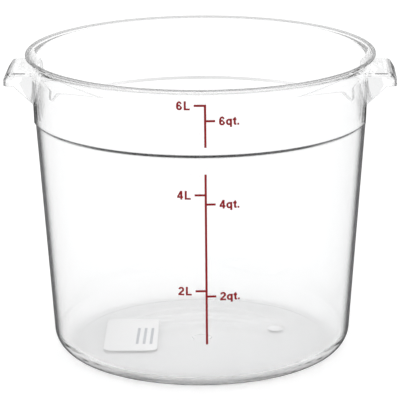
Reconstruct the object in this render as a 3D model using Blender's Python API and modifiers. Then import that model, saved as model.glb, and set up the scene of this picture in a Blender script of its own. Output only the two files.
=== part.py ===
"""Round clear food storage container with two side handles and a printed volume scale.

Units are metres, +Z is up, and the origin is the centre of the surface that the tub
stands on. The handles lie along X and the printed scale faces -Y.
"""

import math

import bmesh
import bpy
from mathutils import Matrix, Vector

COLLECTION_NAME = "food_storage_container"
CUTTER_COLLECTION_NAME = "container_cutters"

# Turned tub: outside, from the rim down to the foot
TUB_HEIGHT = 0.2000
RIM_RADIUS = 0.1140
LIP_EDGE_HEIGHT = 0.0018
LIP_ROUND = 0.0006
OUTER_FLARE_HEIGHT = 0.0140
OUTER_FLARE_WIDTH = 0.0031
BAND_HEIGHT = 0.0439
BAND_DRAFT = 0.0009
LEDGE_STEP = 0.0019
LEDGE_SLOPE_HEIGHT = 0.0017
WALL_DRAFT = 0.0108
BASE_FILLET = 0.0149
FOOT_INSET = 0.0373
FOOT_STEP = 0.0011
FOOT_STEP_WIDTH = 0.0200

BAND_TOP_HEIGHT = TUB_HEIGHT - OUTER_FLARE_HEIGHT
BAND_TOP_RADIUS = RIM_RADIUS - OUTER_FLARE_WIDTH
BAND_BOTTOM_RADIUS = BAND_TOP_RADIUS - BAND_DRAFT
LEDGE_HEIGHT = TUB_HEIGHT - BAND_HEIGHT
UNDER_LEDGE_RADIUS = BAND_BOTTOM_RADIUS - LEDGE_STEP
BASE_RADIUS = UNDER_LEDGE_RADIUS - WALL_DRAFT
FOOT_INNER_RADIUS = BASE_RADIUS - FOOT_INSET

# Turned tub: walls and inside
WALL = 0.0027
FLOOR = 0.0030
FLOOR_FILLET = 0.0120
INNER_FLARE_HEIGHT = 0.0100
INNER_FLARE_WIDTH = 0.0031
LIP_LAND_WIDTH = 0.0016
LIP_LAND_RISE = 0.0020
GATE_MARK_RADIUS = 0.0061
GATE_MARK_DEPTH = 0.0004

# The band stops on both sides of each handle, which leaves a bay of plain wall there
BAY_HALF_WIDTH = 0.0250
BAY_CORNER_RADIUS = 0.0030

# Side handles, below the lip and out past it
HANDLE_OVERHANG = 0.0132
HANDLE_DROP = 0.0100
HANDLE_DEPTH = 0.0090
HANDLE_SLOPE_WIDTH = 0.0032
HANDLE_SLOPE_HEIGHT = 0.0050
HANDLE_HALF_WIDTH = 0.0230
HANDLE_CORNER_RADIUS = 0.0045
HANDLE_WALL = 0.0025
HANDLE_SKIRT_FOOT = 0.0067
WEB_RAKE = 0.0115
PIN_MARK_RADIUS = 0.0018
PIN_MARK_DEPTH = 0.0004
PIN_MARK_INSET = 0.0103
PIN_MARK_BEHIND = 0.0030

HANDLE_REACH = RIM_RADIUS + HANDLE_OVERHANG
HANDLE_TOP_REACH = HANDLE_REACH - HANDLE_SLOPE_WIDTH
HANDLE_TOP_HEIGHT = TUB_HEIGHT - HANDLE_DROP
HANDLE_BOTTOM_HEIGHT = HANDLE_TOP_HEIGHT - HANDLE_DEPTH
WEB_ROOT_HEIGHT = HANDLE_BOTTOM_HEIGHT - WEB_RAKE
BAY_TOP_HEIGHT = HANDLE_TOP_HEIGHT - HANDLE_WALL / 2
PIN_MARK_REACH = HANDLE_REACH - PIN_MARK_INSET

# Printed scale on the outer wall, turned a little from the front towards the +X handle and
# leaning a little the other way. A mark's height is its share of the tub's height.
SCALE_TURN = math.radians(3.0)
SCALE_LEAN = math.radians(0.3)
SCALE_PIVOT_SHARE = 0.505
INK_GAP = 0.0003
INK_THICKNESS = 0.0003
LINE_WIDTH = 0.0014
TICK_THICKNESS = 0.0014
LEFT_TICK_LENGTH = 0.0069
RIGHT_TICK_LENGTH = 0.0061
LINE_OVER_LEDGE = 0.0071
LINE_UNDER_LEDGE = 0.0106
LINE_OVER_GROUND = 0.0323
LITRE_HEIGHT_SHARES = {"6": 0.9495, "4": 0.6595, "2": 0.3415}
QUART_HEIGHT_SHARES = {"6": 0.9005, "4": 0.6290, "2": 0.3235}
LITRE_WORD = "L"
QUART_WORD = "qt."
WORD_GAP = 0.0024
LITRE_GAP = 0.0010
QUART_GAP = 0.0005

# The type, drawn with an upright stroke and a slightly thinner level one. Angles are in
# degrees, and shares are of the letter's own width or height.
FIGURE_HEIGHT = 0.0057
FIGURE_WIDTH = 0.0037
UPRIGHT_STROKE = 0.00128
LEVEL_STROKE = 0.00112
SIX_BOWL_SHARE = 0.62
SIX_ARM_END = 30.0
FOUR_BAR_SHARE = 0.19
FOUR_STEM_SHARE = 0.52
TWO_HOOK_START = 172.0
TWO_HOOK_END = -35.0
TWO_FOOT_SHARE = 0.43
L_WIDTH = 0.0037
SMALL_LETTER_HEIGHT = 0.0041
Q_WIDTH = 0.0038
Q_TAIL = 0.0012
T_WIDTH = 0.0023
T_HEIGHT = 0.0052
T_STEM_SHARE = 0.25
STOP_WIDTH = 0.0012

# Paper label and round sticker on the floor, their centres as shares of the base radius
LABEL_LENGTH = 0.0660
LABEL_WIDTH = 0.0355
LABEL_CORNER = 0.0048
LABEL_CENTRE_SHARES = (-0.486, 0.031)
LABEL_TURN = math.radians(1.0)
STICKER_RADIUS = 0.0053
STICKER_CENTRE_SHARES = (0.511, 0.170)
PAPER_GAP = 0.0003
PAPER_THICKNESS = 0.0003

# Modelling choices
TURN_STEPS = 72
FILLET_STEPS = 7
SMALL_ARC_STEPS = 3
CORNER_STEPS = 4
STICKER_SIDES = 32
PIN_SIDES = 16
LETTER_STEPS = 5
MERGE_DISTANCE = 0.00002
CUT_OVERRUN = 0.0050
SMOOTH_ANGLE = math.radians(35.0)

# Colours of the materials: red, green, blue and opacity
CLEAR_PLASTIC_COLOUR = (0.93, 0.94, 0.95, 0.35)
RED_INK_COLOUR = (0.33, 0.012, 0.018, 1.0)
WHITE_PAPER_COLOUR = (0.90, 0.90, 0.90, 1.0)


def clear_scene():
    for item in list(bpy.data.objects):
        bpy.data.objects.remove(item)


def make_collection(name):
    group = bpy.data.collections.new(name)
    bpy.context.scene.collection.children.link(group)
    return group


def make_material(name, colour, roughness, transmission):
    material = bpy.data.materials.new(name)
    material.use_nodes = True
    material.diffuse_color = colour
    shader = material.node_tree.nodes["Principled BSDF"]
    shader.inputs["Base Color"].default_value = colour
    shader.inputs["Roughness"].default_value = roughness
    shader.inputs["Metallic"].default_value = 0.0
    shader.inputs["Transmission Weight"].default_value = transmission
    return material


def add_object(name, mesh, group, material=None):
    item = bpy.data.objects.new(name, mesh)
    group.objects.link(item)
    if material is not None:
        mesh.materials.clear()
        mesh.materials.append(material)
    return item


def hide_as_cutter(item):
    item.hide_render = True
    item.display_type = "WIRE"


def outer_flare():
    """Centre and radii of the hollow curve that carries the band out to the lip."""
    lip_underside = TUB_HEIGHT - LIP_EDGE_HEIGHT
    centre = (RIM_RADIUS - LIP_ROUND, BAND_TOP_HEIGHT)
    radii = (centre[0] - BAND_TOP_RADIUS, lip_underside - BAND_TOP_HEIGHT)
    return centre, radii


def outer_wall_radius(height):
    """Radius of the wall below the ledge, of the band above it or of the outer flare."""
    if height < LEDGE_HEIGHT:
        share = height / LEDGE_HEIGHT
        return BASE_RADIUS + WALL_DRAFT * share
    if height > BAND_TOP_HEIGHT:
        centre, radii = outer_flare()
        rise = min((height - centre[1]) / radii[1], 1.0)
        return centre[0] - radii[0] * math.sqrt(1.0 - rise * rise)
    start = LEDGE_HEIGHT + LEDGE_SLOPE_HEIGHT
    share = (height - start) / (BAND_TOP_HEIGHT - start)
    return BAND_BOTTOM_RADIUS + BAND_DRAFT * share


def bay_radius(height):
    """Radius of the plain wall behind a handle, as deep as the ledge under the band."""
    share = (height - LEDGE_HEIGHT) / (BAND_TOP_HEIGHT - LEDGE_HEIGHT)
    return UNDER_LEDGE_RADIUS + BAND_DRAFT * share


def floor_level():
    """Height of the flat floor inside, over the raised middle of the underside."""
    return FOOT_STEP + FLOOR


def inner_wall_radius(height):
    """Radius of the inner wall, one straight cone from the floor to the flare."""
    return BASE_RADIUS - WALL + WALL_DRAFT * height / LEDGE_HEIGHT


def arc(centre, radii, start, end, steps):
    """Points of an elliptic arc in the radius and height plane, angles in degrees."""
    points = []
    for index in range(steps + 1):
        angle = math.radians(start + (end - start) * index / steps)
        radius = centre[0] + radii[0] * math.cos(angle)
        height = centre[1] + radii[1] * math.sin(angle)
        points.append((radius, height))
    return points


def wall_fillet(wall_radius_at, fillet, ground):
    """Arc that joins a drafted wall to a level floor, from the wall down to the floor."""
    draft = math.atan(WALL_DRAFT / LEDGE_HEIGHT)
    centre_height = ground + fillet
    centre_radius = wall_radius_at(centre_height) - fillet / math.cos(draft)
    centre = (centre_radius, centre_height)
    return arc(centre, (fillet, fillet), -math.degrees(draft), -90.0, FILLET_STEPS)


def inside_profile():
    """From the centre of the floor out, up the inner wall and over the flare."""
    flare_start = TUB_HEIGHT - INNER_FLARE_HEIGHT
    flare_centre = (inner_wall_radius(flare_start) + INNER_FLARE_WIDTH, flare_start)
    flare_radii = (INNER_FLARE_WIDTH, INNER_FLARE_HEIGHT - LIP_LAND_RISE)
    points = [(0.0, floor_level())]
    points += reversed(wall_fillet(inner_wall_radius, FLOOR_FILLET, floor_level()))
    points += arc(flare_centre, flare_radii, 180.0, 90.0, SMALL_ARC_STEPS + 1)
    return points


def lip_profile():
    """The level land on top of the lip and its rounded outer edge."""
    land_radius = RIM_RADIUS - LIP_ROUND - LIP_LAND_WIDTH
    top_centre = (RIM_RADIUS - LIP_ROUND, TUB_HEIGHT - LIP_ROUND)
    under_centre = (RIM_RADIUS - LIP_ROUND, TUB_HEIGHT - LIP_EDGE_HEIGHT + LIP_ROUND)
    radii = (LIP_ROUND, LIP_ROUND)
    points = [(land_radius, TUB_HEIGHT)]
    points += arc(top_centre, radii, 90.0, 0.0, SMALL_ARC_STEPS)
    points += arc(under_centre, radii, 0.0, -90.0, SMALL_ARC_STEPS)
    return points


def outside_profile():
    """Down the flare, the band, the ledge and the wall, then in along the underside."""
    flare_centre, flare_radii = outer_flare()
    gate_edge = GATE_MARK_RADIUS + GATE_MARK_DEPTH
    points = arc(flare_centre, flare_radii, 90.0, 180.0, SMALL_ARC_STEPS + 1)[1:]
    points.append((BAND_BOTTOM_RADIUS, LEDGE_HEIGHT + LEDGE_SLOPE_HEIGHT))
    points.append((UNDER_LEDGE_RADIUS, LEDGE_HEIGHT))
    points += wall_fillet(outer_wall_radius, BASE_FILLET, 0.0)
    points.append((FOOT_INNER_RADIUS, 0.0))
    points.append((FOOT_INNER_RADIUS - FOOT_STEP_WIDTH, FOOT_STEP))
    points.append((gate_edge, FOOT_STEP))
    points.append((GATE_MARK_RADIUS, FOOT_STEP + GATE_MARK_DEPTH))
    points.append((0.0, FOOT_STEP + GATE_MARK_DEPTH))
    return points


def profile_mesh(name, points):
    mesh = bpy.data.meshes.new(name)
    vertices = [(radius, 0.0, height) for radius, height in points]
    edges = [(index, index + 1) for index in range(len(points) - 1)]
    mesh.from_pydata(vertices, edges, [])
    return mesh


def turn_about_z(item):
    screw = item.modifiers.new("turn", "SCREW")
    screw.axis = "Z"
    screw.angle = math.radians(360.0)
    screw.steps = TURN_STEPS
    screw.render_steps = TURN_STEPS
    screw.use_merge_vertices = True
    screw.merge_threshold = MERGE_DISTANCE
    screw.use_smooth_shade = True


def add_boolean(item, other, operation):
    cut = item.modifiers.new(operation.lower(), "BOOLEAN")
    cut.operation = operation
    cut.solver = "EXACT"
    cut.object = other


def mesh_from_outline(name, outline, half_thickness, holes=()):
    """A flat closed outline in X and Y made a slab, half its thickness each way in Z."""
    curve = bpy.data.curves.new(name, "CURVE")
    curve.dimensions = "2D"
    curve.fill_mode = "BOTH"
    curve.extrude = half_thickness
    for loop in (outline, *holes):
        spline = curve.splines.new("POLY")
        spline.points.add(len(loop) - 1)
        for point, place in zip(spline.points, loop):
            point.co = (place[0], place[1], 0.0, 1.0)
        spline.use_cyclic_u = True
    return mesh_from_curve(name, curve)


def mesh_from_curve(name, curve):
    """The evaluated mesh of a curve, with its loose caps welded on."""
    guide = bpy.data.objects.new(name + "_guide", curve)
    bpy.context.scene.collection.objects.link(guide)
    bpy.context.view_layer.update()
    evaluated = guide.evaluated_get(bpy.context.evaluated_depsgraph_get())
    mesh = bpy.data.meshes.new_from_object(evaluated)
    mesh.name = name
    bpy.data.objects.remove(guide)
    cage = bmesh.new()
    cage.from_mesh(mesh)
    bmesh.ops.remove_doubles(cage, verts=cage.verts, dist=MERGE_DISTANCE)
    bmesh.ops.recalc_face_normals(cage, faces=cage.faces)
    cage.to_mesh(mesh)
    cage.free()
    return mesh


def mesh_width(mesh):
    places = [vertex.co.x for vertex in mesh.vertices]
    return max(places) - min(places)


def rounded_rectangle(low, high, radius, rounded):
    """Corner points of a rectangle, anticlockwise, with the named corners rounded."""
    corners = {
        "south_west": (low[0], low[1], 180.0),
        "south_east": (high[0], low[1], 270.0),
        "north_east": (high[0], high[1], 0.0),
        "north_west": (low[0], high[1], 90.0),
    }
    points = []
    for name, (x, y, start) in corners.items():
        if name not in rounded:
            points.append((x, y))
            continue
        centre_x = x - math.copysign(radius, x - (low[0] + high[0]) / 2)
        centre_y = y - math.copysign(radius, y - (low[1] + high[1]) / 2)
        centre = (centre_x, centre_y)
        points += arc(centre, (radius, radius), start, start + 90.0, CORNER_STEPS)
    return points


def web_root():
    """X and Z of the web's lowest point, carried on through the wall to be trimmed."""
    root = UNDER_LEDGE_RADIUS - WALL - CUT_OVERRUN
    foot = HANDLE_REACH - HANDLE_SKIRT_FOOT
    rake = HANDLE_BOTTOM_HEIGHT - WEB_ROOT_HEIGHT
    slope = rake / (foot - bay_radius(WEB_ROOT_HEIGHT))
    return root, HANDLE_BOTTOM_HEIGHT - slope * (foot - root)


def handle_side_outline():
    """The handle seen along Y, as X and Z points: plate, skirt and raking web."""
    root, root_height = web_root()
    return [
        (root, HANDLE_TOP_HEIGHT),
        (root, root_height),
        (HANDLE_REACH - HANDLE_SKIRT_FOOT, HANDLE_BOTTOM_HEIGHT),
        (HANDLE_REACH, HANDLE_BOTTOM_HEIGHT),
        (HANDLE_REACH, HANDLE_TOP_HEIGHT - HANDLE_SLOPE_HEIGHT),
        (HANDLE_TOP_REACH, HANDLE_TOP_HEIGHT),
    ]


def cavity_side_outline():
    """The hollow under the plate, one handle wall inside the outline and open below."""
    root, root_height = web_root()
    ceiling = HANDLE_TOP_HEIGHT - HANDLE_WALL
    bottom = root_height - CUT_OVERRUN
    slope_end = HANDLE_TOP_HEIGHT - HANDLE_SLOPE_HEIGHT
    return [
        (root, ceiling),
        (root, bottom),
        (HANDLE_REACH - HANDLE_WALL, bottom),
        (HANDLE_REACH - HANDLE_WALL, slope_end),
        (HANDLE_TOP_REACH - HANDLE_WALL, ceiling),
    ]


def slab_across_y(name, outline, half_width, group):
    """An X and Z outline made a slab that is centred on Y."""
    mesh = mesh_from_outline(name, outline, half_width)
    mesh.transform(Matrix.Rotation(math.radians(90.0), 4, "X"))
    item = add_object(name, mesh, group)
    hide_as_cutter(item)
    return item


def make_wall_core(group):
    """A turned plug that reaches half way into the wall and trims the handle roots."""
    bottom = web_root()[1] - CUT_OVERRUN
    top = HANDLE_TOP_HEIGHT + CUT_OVERRUN
    half_wall = WALL / 2
    points = [
        (0.0, top),
        (inner_wall_radius(top) + half_wall, top),
        (inner_wall_radius(bottom) + half_wall, bottom),
        (0.0, bottom),
    ]
    item = add_object("wall_core", profile_mesh("wall_core", points), group)
    turn_about_z(item)
    hide_as_cutter(item)
    return item


def bay_outline():
    """The bay seen along X, as Y and Z points, with its feet flared and its top rounded."""
    corner = (BAY_CORNER_RADIUS, BAY_CORNER_RADIUS)
    foot_centre = (BAY_HALF_WIDTH + BAY_CORNER_RADIUS, LEDGE_HEIGHT + BAY_CORNER_RADIUS)
    top_centre = (BAY_HALF_WIDTH - BAY_CORNER_RADIUS, BAY_TOP_HEIGHT - BAY_CORNER_RADIUS)
    side = [(foot_centre[0], LEDGE_HEIGHT - CUT_OVERRUN)]
    side += arc(foot_centre, corner, 270.0, 180.0, CORNER_STEPS)
    side += arc(top_centre, corner, 0.0, 90.0, CORNER_STEPS)
    other_side = [(-across, height) for across, height in reversed(side)]
    return side + other_side


def make_bay_core(group):
    """A turned plug as wide as the plain wall of the bays, which keeps the cut off it."""
    bottom = LEDGE_HEIGHT - CUT_OVERRUN
    top = BAY_TOP_HEIGHT + CUT_OVERRUN
    points = [
        (0.0, top),
        (bay_radius(top), top),
        (UNDER_LEDGE_RADIUS, LEDGE_HEIGHT),
        (outer_wall_radius(bottom) + CUT_OVERRUN, bottom),
        (0.0, bottom),
    ]
    item = add_object("bay_core", profile_mesh("bay_core", points), group)
    turn_about_z(item)
    hide_as_cutter(item)
    return item


def make_bay(group):
    """The ring piece that is cut from the band behind the +X handle."""
    reach = RIM_RADIUS + CUT_OVERRUN
    mesh = mesh_from_outline("bay_right", bay_outline(), reach / 2)
    across = Matrix.Rotation(math.radians(90.0), 4, "X")
    along = Matrix.Rotation(math.radians(90.0), 4, "Z")
    mesh.transform(Matrix.Translation((reach / 2, 0.0, 0.0)) @ along @ across)
    bay = add_object("bay_right", mesh, group)
    hide_as_cutter(bay)
    add_boolean(bay, make_bay_core(group), "DIFFERENCE")
    return bay


def make_plan_limit(group):
    """The rounded plan of the handle, taller than it, that rounds its two corners."""
    low = (0.0, -HANDLE_HALF_WIDTH)
    high = (HANDLE_REACH, HANDLE_HALF_WIDTH)
    corners = ("south_east", "north_east")
    outline = rounded_rectangle(low, high, HANDLE_CORNER_RADIUS, corners)
    mesh = mesh_from_outline("plan_limit", outline, HANDLE_TOP_HEIGHT)
    mesh.transform(Matrix.Translation((0.0, 0.0, HANDLE_TOP_HEIGHT / 2)))
    item = add_object("plan_limit", mesh, group)
    hide_as_cutter(item)
    return item


def make_pin_mark(group):
    """A shallow round mould mark on top of the plate, a little behind its middle."""
    bpy.ops.mesh.primitive_cylinder_add(
        vertices=PIN_SIDES,
        radius=PIN_MARK_RADIUS,
        depth=PIN_MARK_DEPTH * 2,
        location=(PIN_MARK_REACH, PIN_MARK_BEHIND, HANDLE_TOP_HEIGHT),
    )
    item = bpy.context.active_object
    item.name = "pin_mark"
    for owner in list(item.users_collection):
        owner.objects.unlink(item)
    group.objects.link(item)
    hide_as_cutter(item)
    return item


def make_handle(group):
    """One hollow handle on the +X side, open below for the fingers."""
    handle = slab_across_y(
        "handle_right", handle_side_outline(), HANDLE_HALF_WIDTH, group
    )
    hollow_half_width = HANDLE_HALF_WIDTH - HANDLE_WALL
    cavity = slab_across_y(
        "handle_cavity", cavity_side_outline(), hollow_half_width, group
    )
    add_boolean(handle, make_plan_limit(group), "INTERSECT")
    add_boolean(handle, cavity, "DIFFERENCE")
    add_boolean(handle, make_wall_core(group), "DIFFERENCE")
    add_boolean(handle, make_pin_mark(group), "DIFFERENCE")
    return handle


def turned_copy(item, name, angle, group):
    """The item's evaluated mesh turned about Z and kept as a new cutter."""
    bpy.context.view_layer.update()
    evaluated = item.evaluated_get(bpy.context.evaluated_depsgraph_get())
    mesh = bpy.data.meshes.new_from_object(evaluated)
    mesh.transform(Matrix.Rotation(angle, 4, "Z"))
    copy = add_object(name, mesh, group)
    hide_as_cutter(copy)
    return copy


def make_tub(group, cutters, material):
    """The whole moulding: turned floor, wall, ledge and lip, the bays and the handles."""
    points = inside_profile() + lip_profile() + outside_profile()
    tub = add_object("tub", profile_mesh("tub", points), group, material)
    turn_about_z(tub)
    half_turn = math.radians(180.0)
    right_bay = make_bay(cutters)
    left_bay = turned_copy(right_bay, "bay_left", half_turn, cutters)
    add_boolean(tub, right_bay, "DIFFERENCE")
    add_boolean(tub, left_bay, "DIFFERENCE")
    right = make_handle(cutters)
    left = turned_copy(right, "handle_left", half_turn, cutters)
    add_boolean(tub, right, "UNION")
    add_boolean(tub, left, "UNION")
    return tub


def scale_turn_at(height):
    """How far round the printed scale's line lies at a height, as it leans a little."""
    rise = height - TUB_HEIGHT * SCALE_PIVOT_SHARE
    return SCALE_TURN - math.tan(SCALE_LEAN) * rise / outer_wall_radius(height)


def wrap_on_wall(mesh):
    """Move a flat line onto the outer wall: X runs round it, Y up it and Z out of it."""
    cage = bmesh.new()
    cage.from_mesh(mesh)
    bmesh.ops.triangulate(cage, faces=cage.faces)
    for vertex in cage.verts:
        level = vertex.co.y
        wall = outer_wall_radius(level)
        angle = scale_turn_at(level) + vertex.co.x / wall
        radius = wall + INK_GAP + INK_THICKNESS / 2 + vertex.co.z
        vertex.co = Vector((radius * math.sin(angle), -radius * math.cos(angle), level))
    cage.to_mesh(mesh)
    cage.free()


def stand_on_wall(mesh, across, foot):
    """Stand a flat letter against the outer wall, square to it and parallel to it."""
    half_width = mesh_width(mesh) / 2
    half_height = FIGURE_HEIGHT / 2
    low = outer_wall_radius(foot)
    high = outer_wall_radius(foot + half_height * 2)
    lean = math.atan2(high - low, half_height * 2)
    wall = (low + high) / 2
    radius = wall + INK_GAP + INK_THICKNESS / 2
    centred = Matrix.Translation((-half_width, -half_height, 0.0))
    upright = Matrix.Rotation(math.radians(90.0) + lean, 4, "X")
    out = Matrix.Translation((0.0, -radius, foot + half_height))
    angle = scale_turn_at(foot + half_height) + (across + half_width) / wall
    turned = Matrix.Rotation(angle, 4, "Z")
    mesh.transform(turned @ out @ upright @ centred)


def scale_line_outline(top, bottom, left_ticks, right_ticks):
    """A vertical line with ticks on both sides, anticlockwise from its lower right."""
    half_line = LINE_WIDTH / 2
    half_tick = TICK_THICKNESS / 2
    right = [(half_line, bottom)]
    for height in sorted(right_ticks):
        right.append((half_line, height - half_tick))
        right.append((RIGHT_TICK_LENGTH, height - half_tick))
        right.append((RIGHT_TICK_LENGTH, height + half_tick))
        right.append((half_line, height + half_tick))
    right.append((half_line, top))
    left = [(-half_line, bottom)]
    for height in sorted(left_ticks):
        left.append((-half_line, height - half_tick))
        left.append((-LEFT_TICK_LENGTH, height - half_tick))
        left.append((-LEFT_TICK_LENGTH, height + half_tick))
        if height + half_tick < top:
            left.append((-half_line, height + half_tick))
    if left[-1][1] < top:
        left.append((-half_line, top))
    return right + left[::-1]


def make_scale_line(name, top, bottom, numbers, group, material):
    left_ticks = [TUB_HEIGHT * LITRE_HEIGHT_SHARES[number] for number in numbers]
    right_ticks = [TUB_HEIGHT * QUART_HEIGHT_SHARES[number] for number in numbers]
    outline = scale_line_outline(top, bottom, left_ticks, right_ticks)
    mesh = mesh_from_outline(name, outline, INK_THICKNESS / 2)
    wrap_on_wall(mesh)
    add_object(name, mesh, group, material)


def inside_ellipse(point, centre, radii):
    across = (point[0] - centre[0]) / radii[0]
    up = (point[1] - centre[1]) / radii[1]
    return math.hypot(across, up) < 1.0


def whole_turn(centre, radii):
    """An ellipse as a closed loop, its last point left out because it is the first."""
    return arc(centre, radii, 0.0, 360.0, LETTER_STEPS * 4)[:-1]


def figure_six():
    """An arm that curls over the top and a round bowl under it, with the bowl's hole."""
    half_width = FIGURE_WIDTH / 2
    bowl_height = FIGURE_HEIGHT * SIX_BOWL_SHARE / 2
    bowl_centre = (half_width, bowl_height)
    bowl = (half_width, bowl_height)
    arm_centre = (half_width, FIGURE_HEIGHT / 2)
    arm = (half_width, FIGURE_HEIGHT / 2)
    arm_inside = (arm[0] - UPRIGHT_STROKE, arm[1] - LEVEL_STROKE)
    hole = (bowl[0] - UPRIGHT_STROKE, bowl[1] - LEVEL_STROKE)
    outline = arc(arm_centre, arm, SIX_ARM_END, 180.0, LETTER_STEPS * 2)
    for point in arc(bowl_centre, bowl, 180.0, 540.0, LETTER_STEPS * 4):
        if point[1] < bowl_height or inside_ellipse(point, arm_centre, arm_inside):
            outline.append(point)
    for point in arc(arm_centre, arm_inside, 180.0, SIX_ARM_END, LETTER_STEPS * 2):
        if not inside_ellipse(point, bowl_centre, bowl):
            outline.append(point)
    return outline, [whole_turn(bowl_centre, hole)]


def figure_four():
    """A stem, a level bar and a sloping stroke round a three-cornered hole."""
    bar = FIGURE_HEIGHT * FOUR_BAR_SHARE
    bar_top = bar + LEVEL_STROKE
    stem = FIGURE_WIDTH * FOUR_STEM_SHARE
    stem_right = stem + UPRIGHT_STROKE
    rise = FIGURE_HEIGHT - bar_top
    slope = math.hypot(stem, rise)
    outline = [
        (0.0, bar),
        (stem, bar),
        (stem, 0.0),
        (stem_right, 0.0),
        (stem_right, bar),
        (FIGURE_WIDTH, bar),
        (FIGURE_WIDTH, bar_top),
        (stem_right, bar_top),
        (stem_right, FIGURE_HEIGHT),
        (stem, FIGURE_HEIGHT),
        (0.0, bar_top),
    ]
    hole = [
        (stem, bar_top),
        (stem, FIGURE_HEIGHT - LEVEL_STROKE * slope / stem),
        (LEVEL_STROKE * slope / rise, bar_top),
    ]
    return outline, [hole]


def figure_two():
    """A hook over the top, a sloping stroke and a level foot."""
    half_width = FIGURE_WIDTH / 2
    centre = (half_width, FIGURE_HEIGHT - half_width)
    hook = (half_width, half_width)
    hook_inside = (half_width - UPRIGHT_STROKE, half_width - LEVEL_STROKE)
    outline = arc(centre, hook_inside, TWO_HOOK_START, TWO_HOOK_END, LETTER_STEPS * 2)
    outline += [
        (0.0, LEVEL_STROKE),
        (0.0, 0.0),
        (FIGURE_WIDTH, 0.0),
        (FIGURE_WIDTH, LEVEL_STROKE),
        (FIGURE_WIDTH * TWO_FOOT_SHARE, LEVEL_STROKE),
    ]
    outline += arc(centre, hook, TWO_HOOK_END, TWO_HOOK_START, LETTER_STEPS * 2)
    return outline, []


def letter_l():
    outline = [
        (0.0, 0.0),
        (L_WIDTH, 0.0),
        (L_WIDTH, LEVEL_STROKE),
        (UPRIGHT_STROKE, LEVEL_STROKE),
        (UPRIGHT_STROKE, FIGURE_HEIGHT),
        (0.0, FIGURE_HEIGHT),
    ]
    return outline, []


def letter_q():
    """A round bowl with its hole, and a stem with a tail on its right."""
    centre = (Q_WIDTH / 2, SMALL_LETTER_HEIGHT / 2)
    hole = (centre[0] - UPRIGHT_STROKE, centre[1] - LEVEL_STROKE)
    stem = Q_WIDTH - UPRIGHT_STROKE
    meeting = math.degrees(math.acos((stem - centre[0]) / centre[0]))
    outline = arc(centre, centre, meeting, 360.0 - meeting, LETTER_STEPS * 3)
    outline += [
        (stem, -Q_TAIL),
        (Q_WIDTH, -Q_TAIL),
        (Q_WIDTH, SMALL_LETTER_HEIGHT),
        (stem, SMALL_LETTER_HEIGHT),
    ]
    return outline, [whole_turn(centre, hole)]


def letter_t():
    stem = T_WIDTH * T_STEM_SHARE
    stem_right = stem + UPRIGHT_STROKE
    bar = SMALL_LETTER_HEIGHT - LEVEL_STROKE
    outline = [
        (stem + UPRIGHT_STROKE / 2, 0.0),
        (T_WIDTH, 0.0),
        (T_WIDTH, LEVEL_STROKE),
        (stem_right, LEVEL_STROKE),
        (stem_right, bar),
        (T_WIDTH, bar),
        (T_WIDTH, SMALL_LETTER_HEIGHT),
        (stem_right, SMALL_LETTER_HEIGHT),
        (stem_right, T_HEIGHT),
        (stem, T_HEIGHT - UPRIGHT_STROKE / 2),
        (stem, SMALL_LETTER_HEIGHT),
        (0.0, SMALL_LETTER_HEIGHT),
        (0.0, bar),
        (stem, bar),
        (stem, UPRIGHT_STROKE / 2),
    ]
    return outline, []


def full_stop():
    outline = [
        (0.0, 0.0),
        (STOP_WIDTH, 0.0),
        (STOP_WIDTH, STOP_WIDTH),
        (0.0, STOP_WIDTH),
    ]
    return outline, []


LETTERS = {
    "6": figure_six,
    "4": figure_four,
    "2": figure_two,
    "L": letter_l,
    "q": letter_q,
    "t": letter_t,
    ".": full_stop,
}


def make_mark(prefix, word, height, reads_right, group, material):
    """The letters of one graduation, level with its tick and beside the tick's end."""
    names = {".": "stop"}
    gap = QUART_GAP if reads_right else LITRE_GAP
    meshes = []
    for letter in word:
        name = prefix + "_" + names.get(letter, letter.lower())
        outline, holes = LETTERS[letter]()
        meshes.append(mesh_from_outline(name, outline, INK_THICKNESS / 2, holes))
    total = sum(mesh_width(mesh) for mesh in meshes) + gap * (len(meshes) - 1)
    if reads_right:
        across = RIGHT_TICK_LENGTH + WORD_GAP
    else:
        across = -LEFT_TICK_LENGTH - WORD_GAP - total
    foot = height - FIGURE_HEIGHT / 2
    for mesh in meshes:
        width = mesh_width(mesh)
        stand_on_wall(mesh, across, foot)
        add_object(mesh.name, mesh, group, material)
        across += width + gap


def make_scale(group, material):
    scale_top = TUB_HEIGHT * LITRE_HEIGHT_SHARES["6"] + TICK_THICKNESS / 2
    upper_bottom = LEDGE_HEIGHT + LINE_OVER_LEDGE
    lower_top = LEDGE_HEIGHT - LINE_UNDER_LEDGE
    make_scale_line("scale_line_upper", scale_top, upper_bottom, "6", group, material)
    make_scale_line(
        "scale_line_lower", lower_top, LINE_OVER_GROUND, "42", group, material
    )
    for number, share in LITRE_HEIGHT_SHARES.items():
        height = TUB_HEIGHT * share
        word = number + LITRE_WORD
        make_mark("mark_" + number + "l", word, height, False, group, material)
    for number, share in QUART_HEIGHT_SHARES.items():
        height = TUB_HEIGHT * share
        word = number + QUART_WORD
        make_mark("mark_" + number + "qt", word, height, True, group, material)


def place_on_floor(centre_shares):
    """The middle of a paper piece that lies on the floor of the tub."""
    level = floor_level() + PAPER_GAP + PAPER_THICKNESS / 2
    return (BASE_RADIUS * centre_shares[0], BASE_RADIUS * centre_shares[1], level)


def make_base_label(group, material):
    half = (LABEL_WIDTH / 2, LABEL_LENGTH / 2)
    corners = ("south_west", "south_east", "north_east", "north_west")
    outline = rounded_rectangle((-half[0], -half[1]), half, LABEL_CORNER, corners)
    mesh = mesh_from_outline("base_label", outline, PAPER_THICKNESS / 2)
    place = Matrix.Translation(place_on_floor(LABEL_CENTRE_SHARES))
    mesh.transform(place @ Matrix.Rotation(LABEL_TURN, 4, "Z"))
    add_object("base_label", mesh, group, material)


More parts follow.
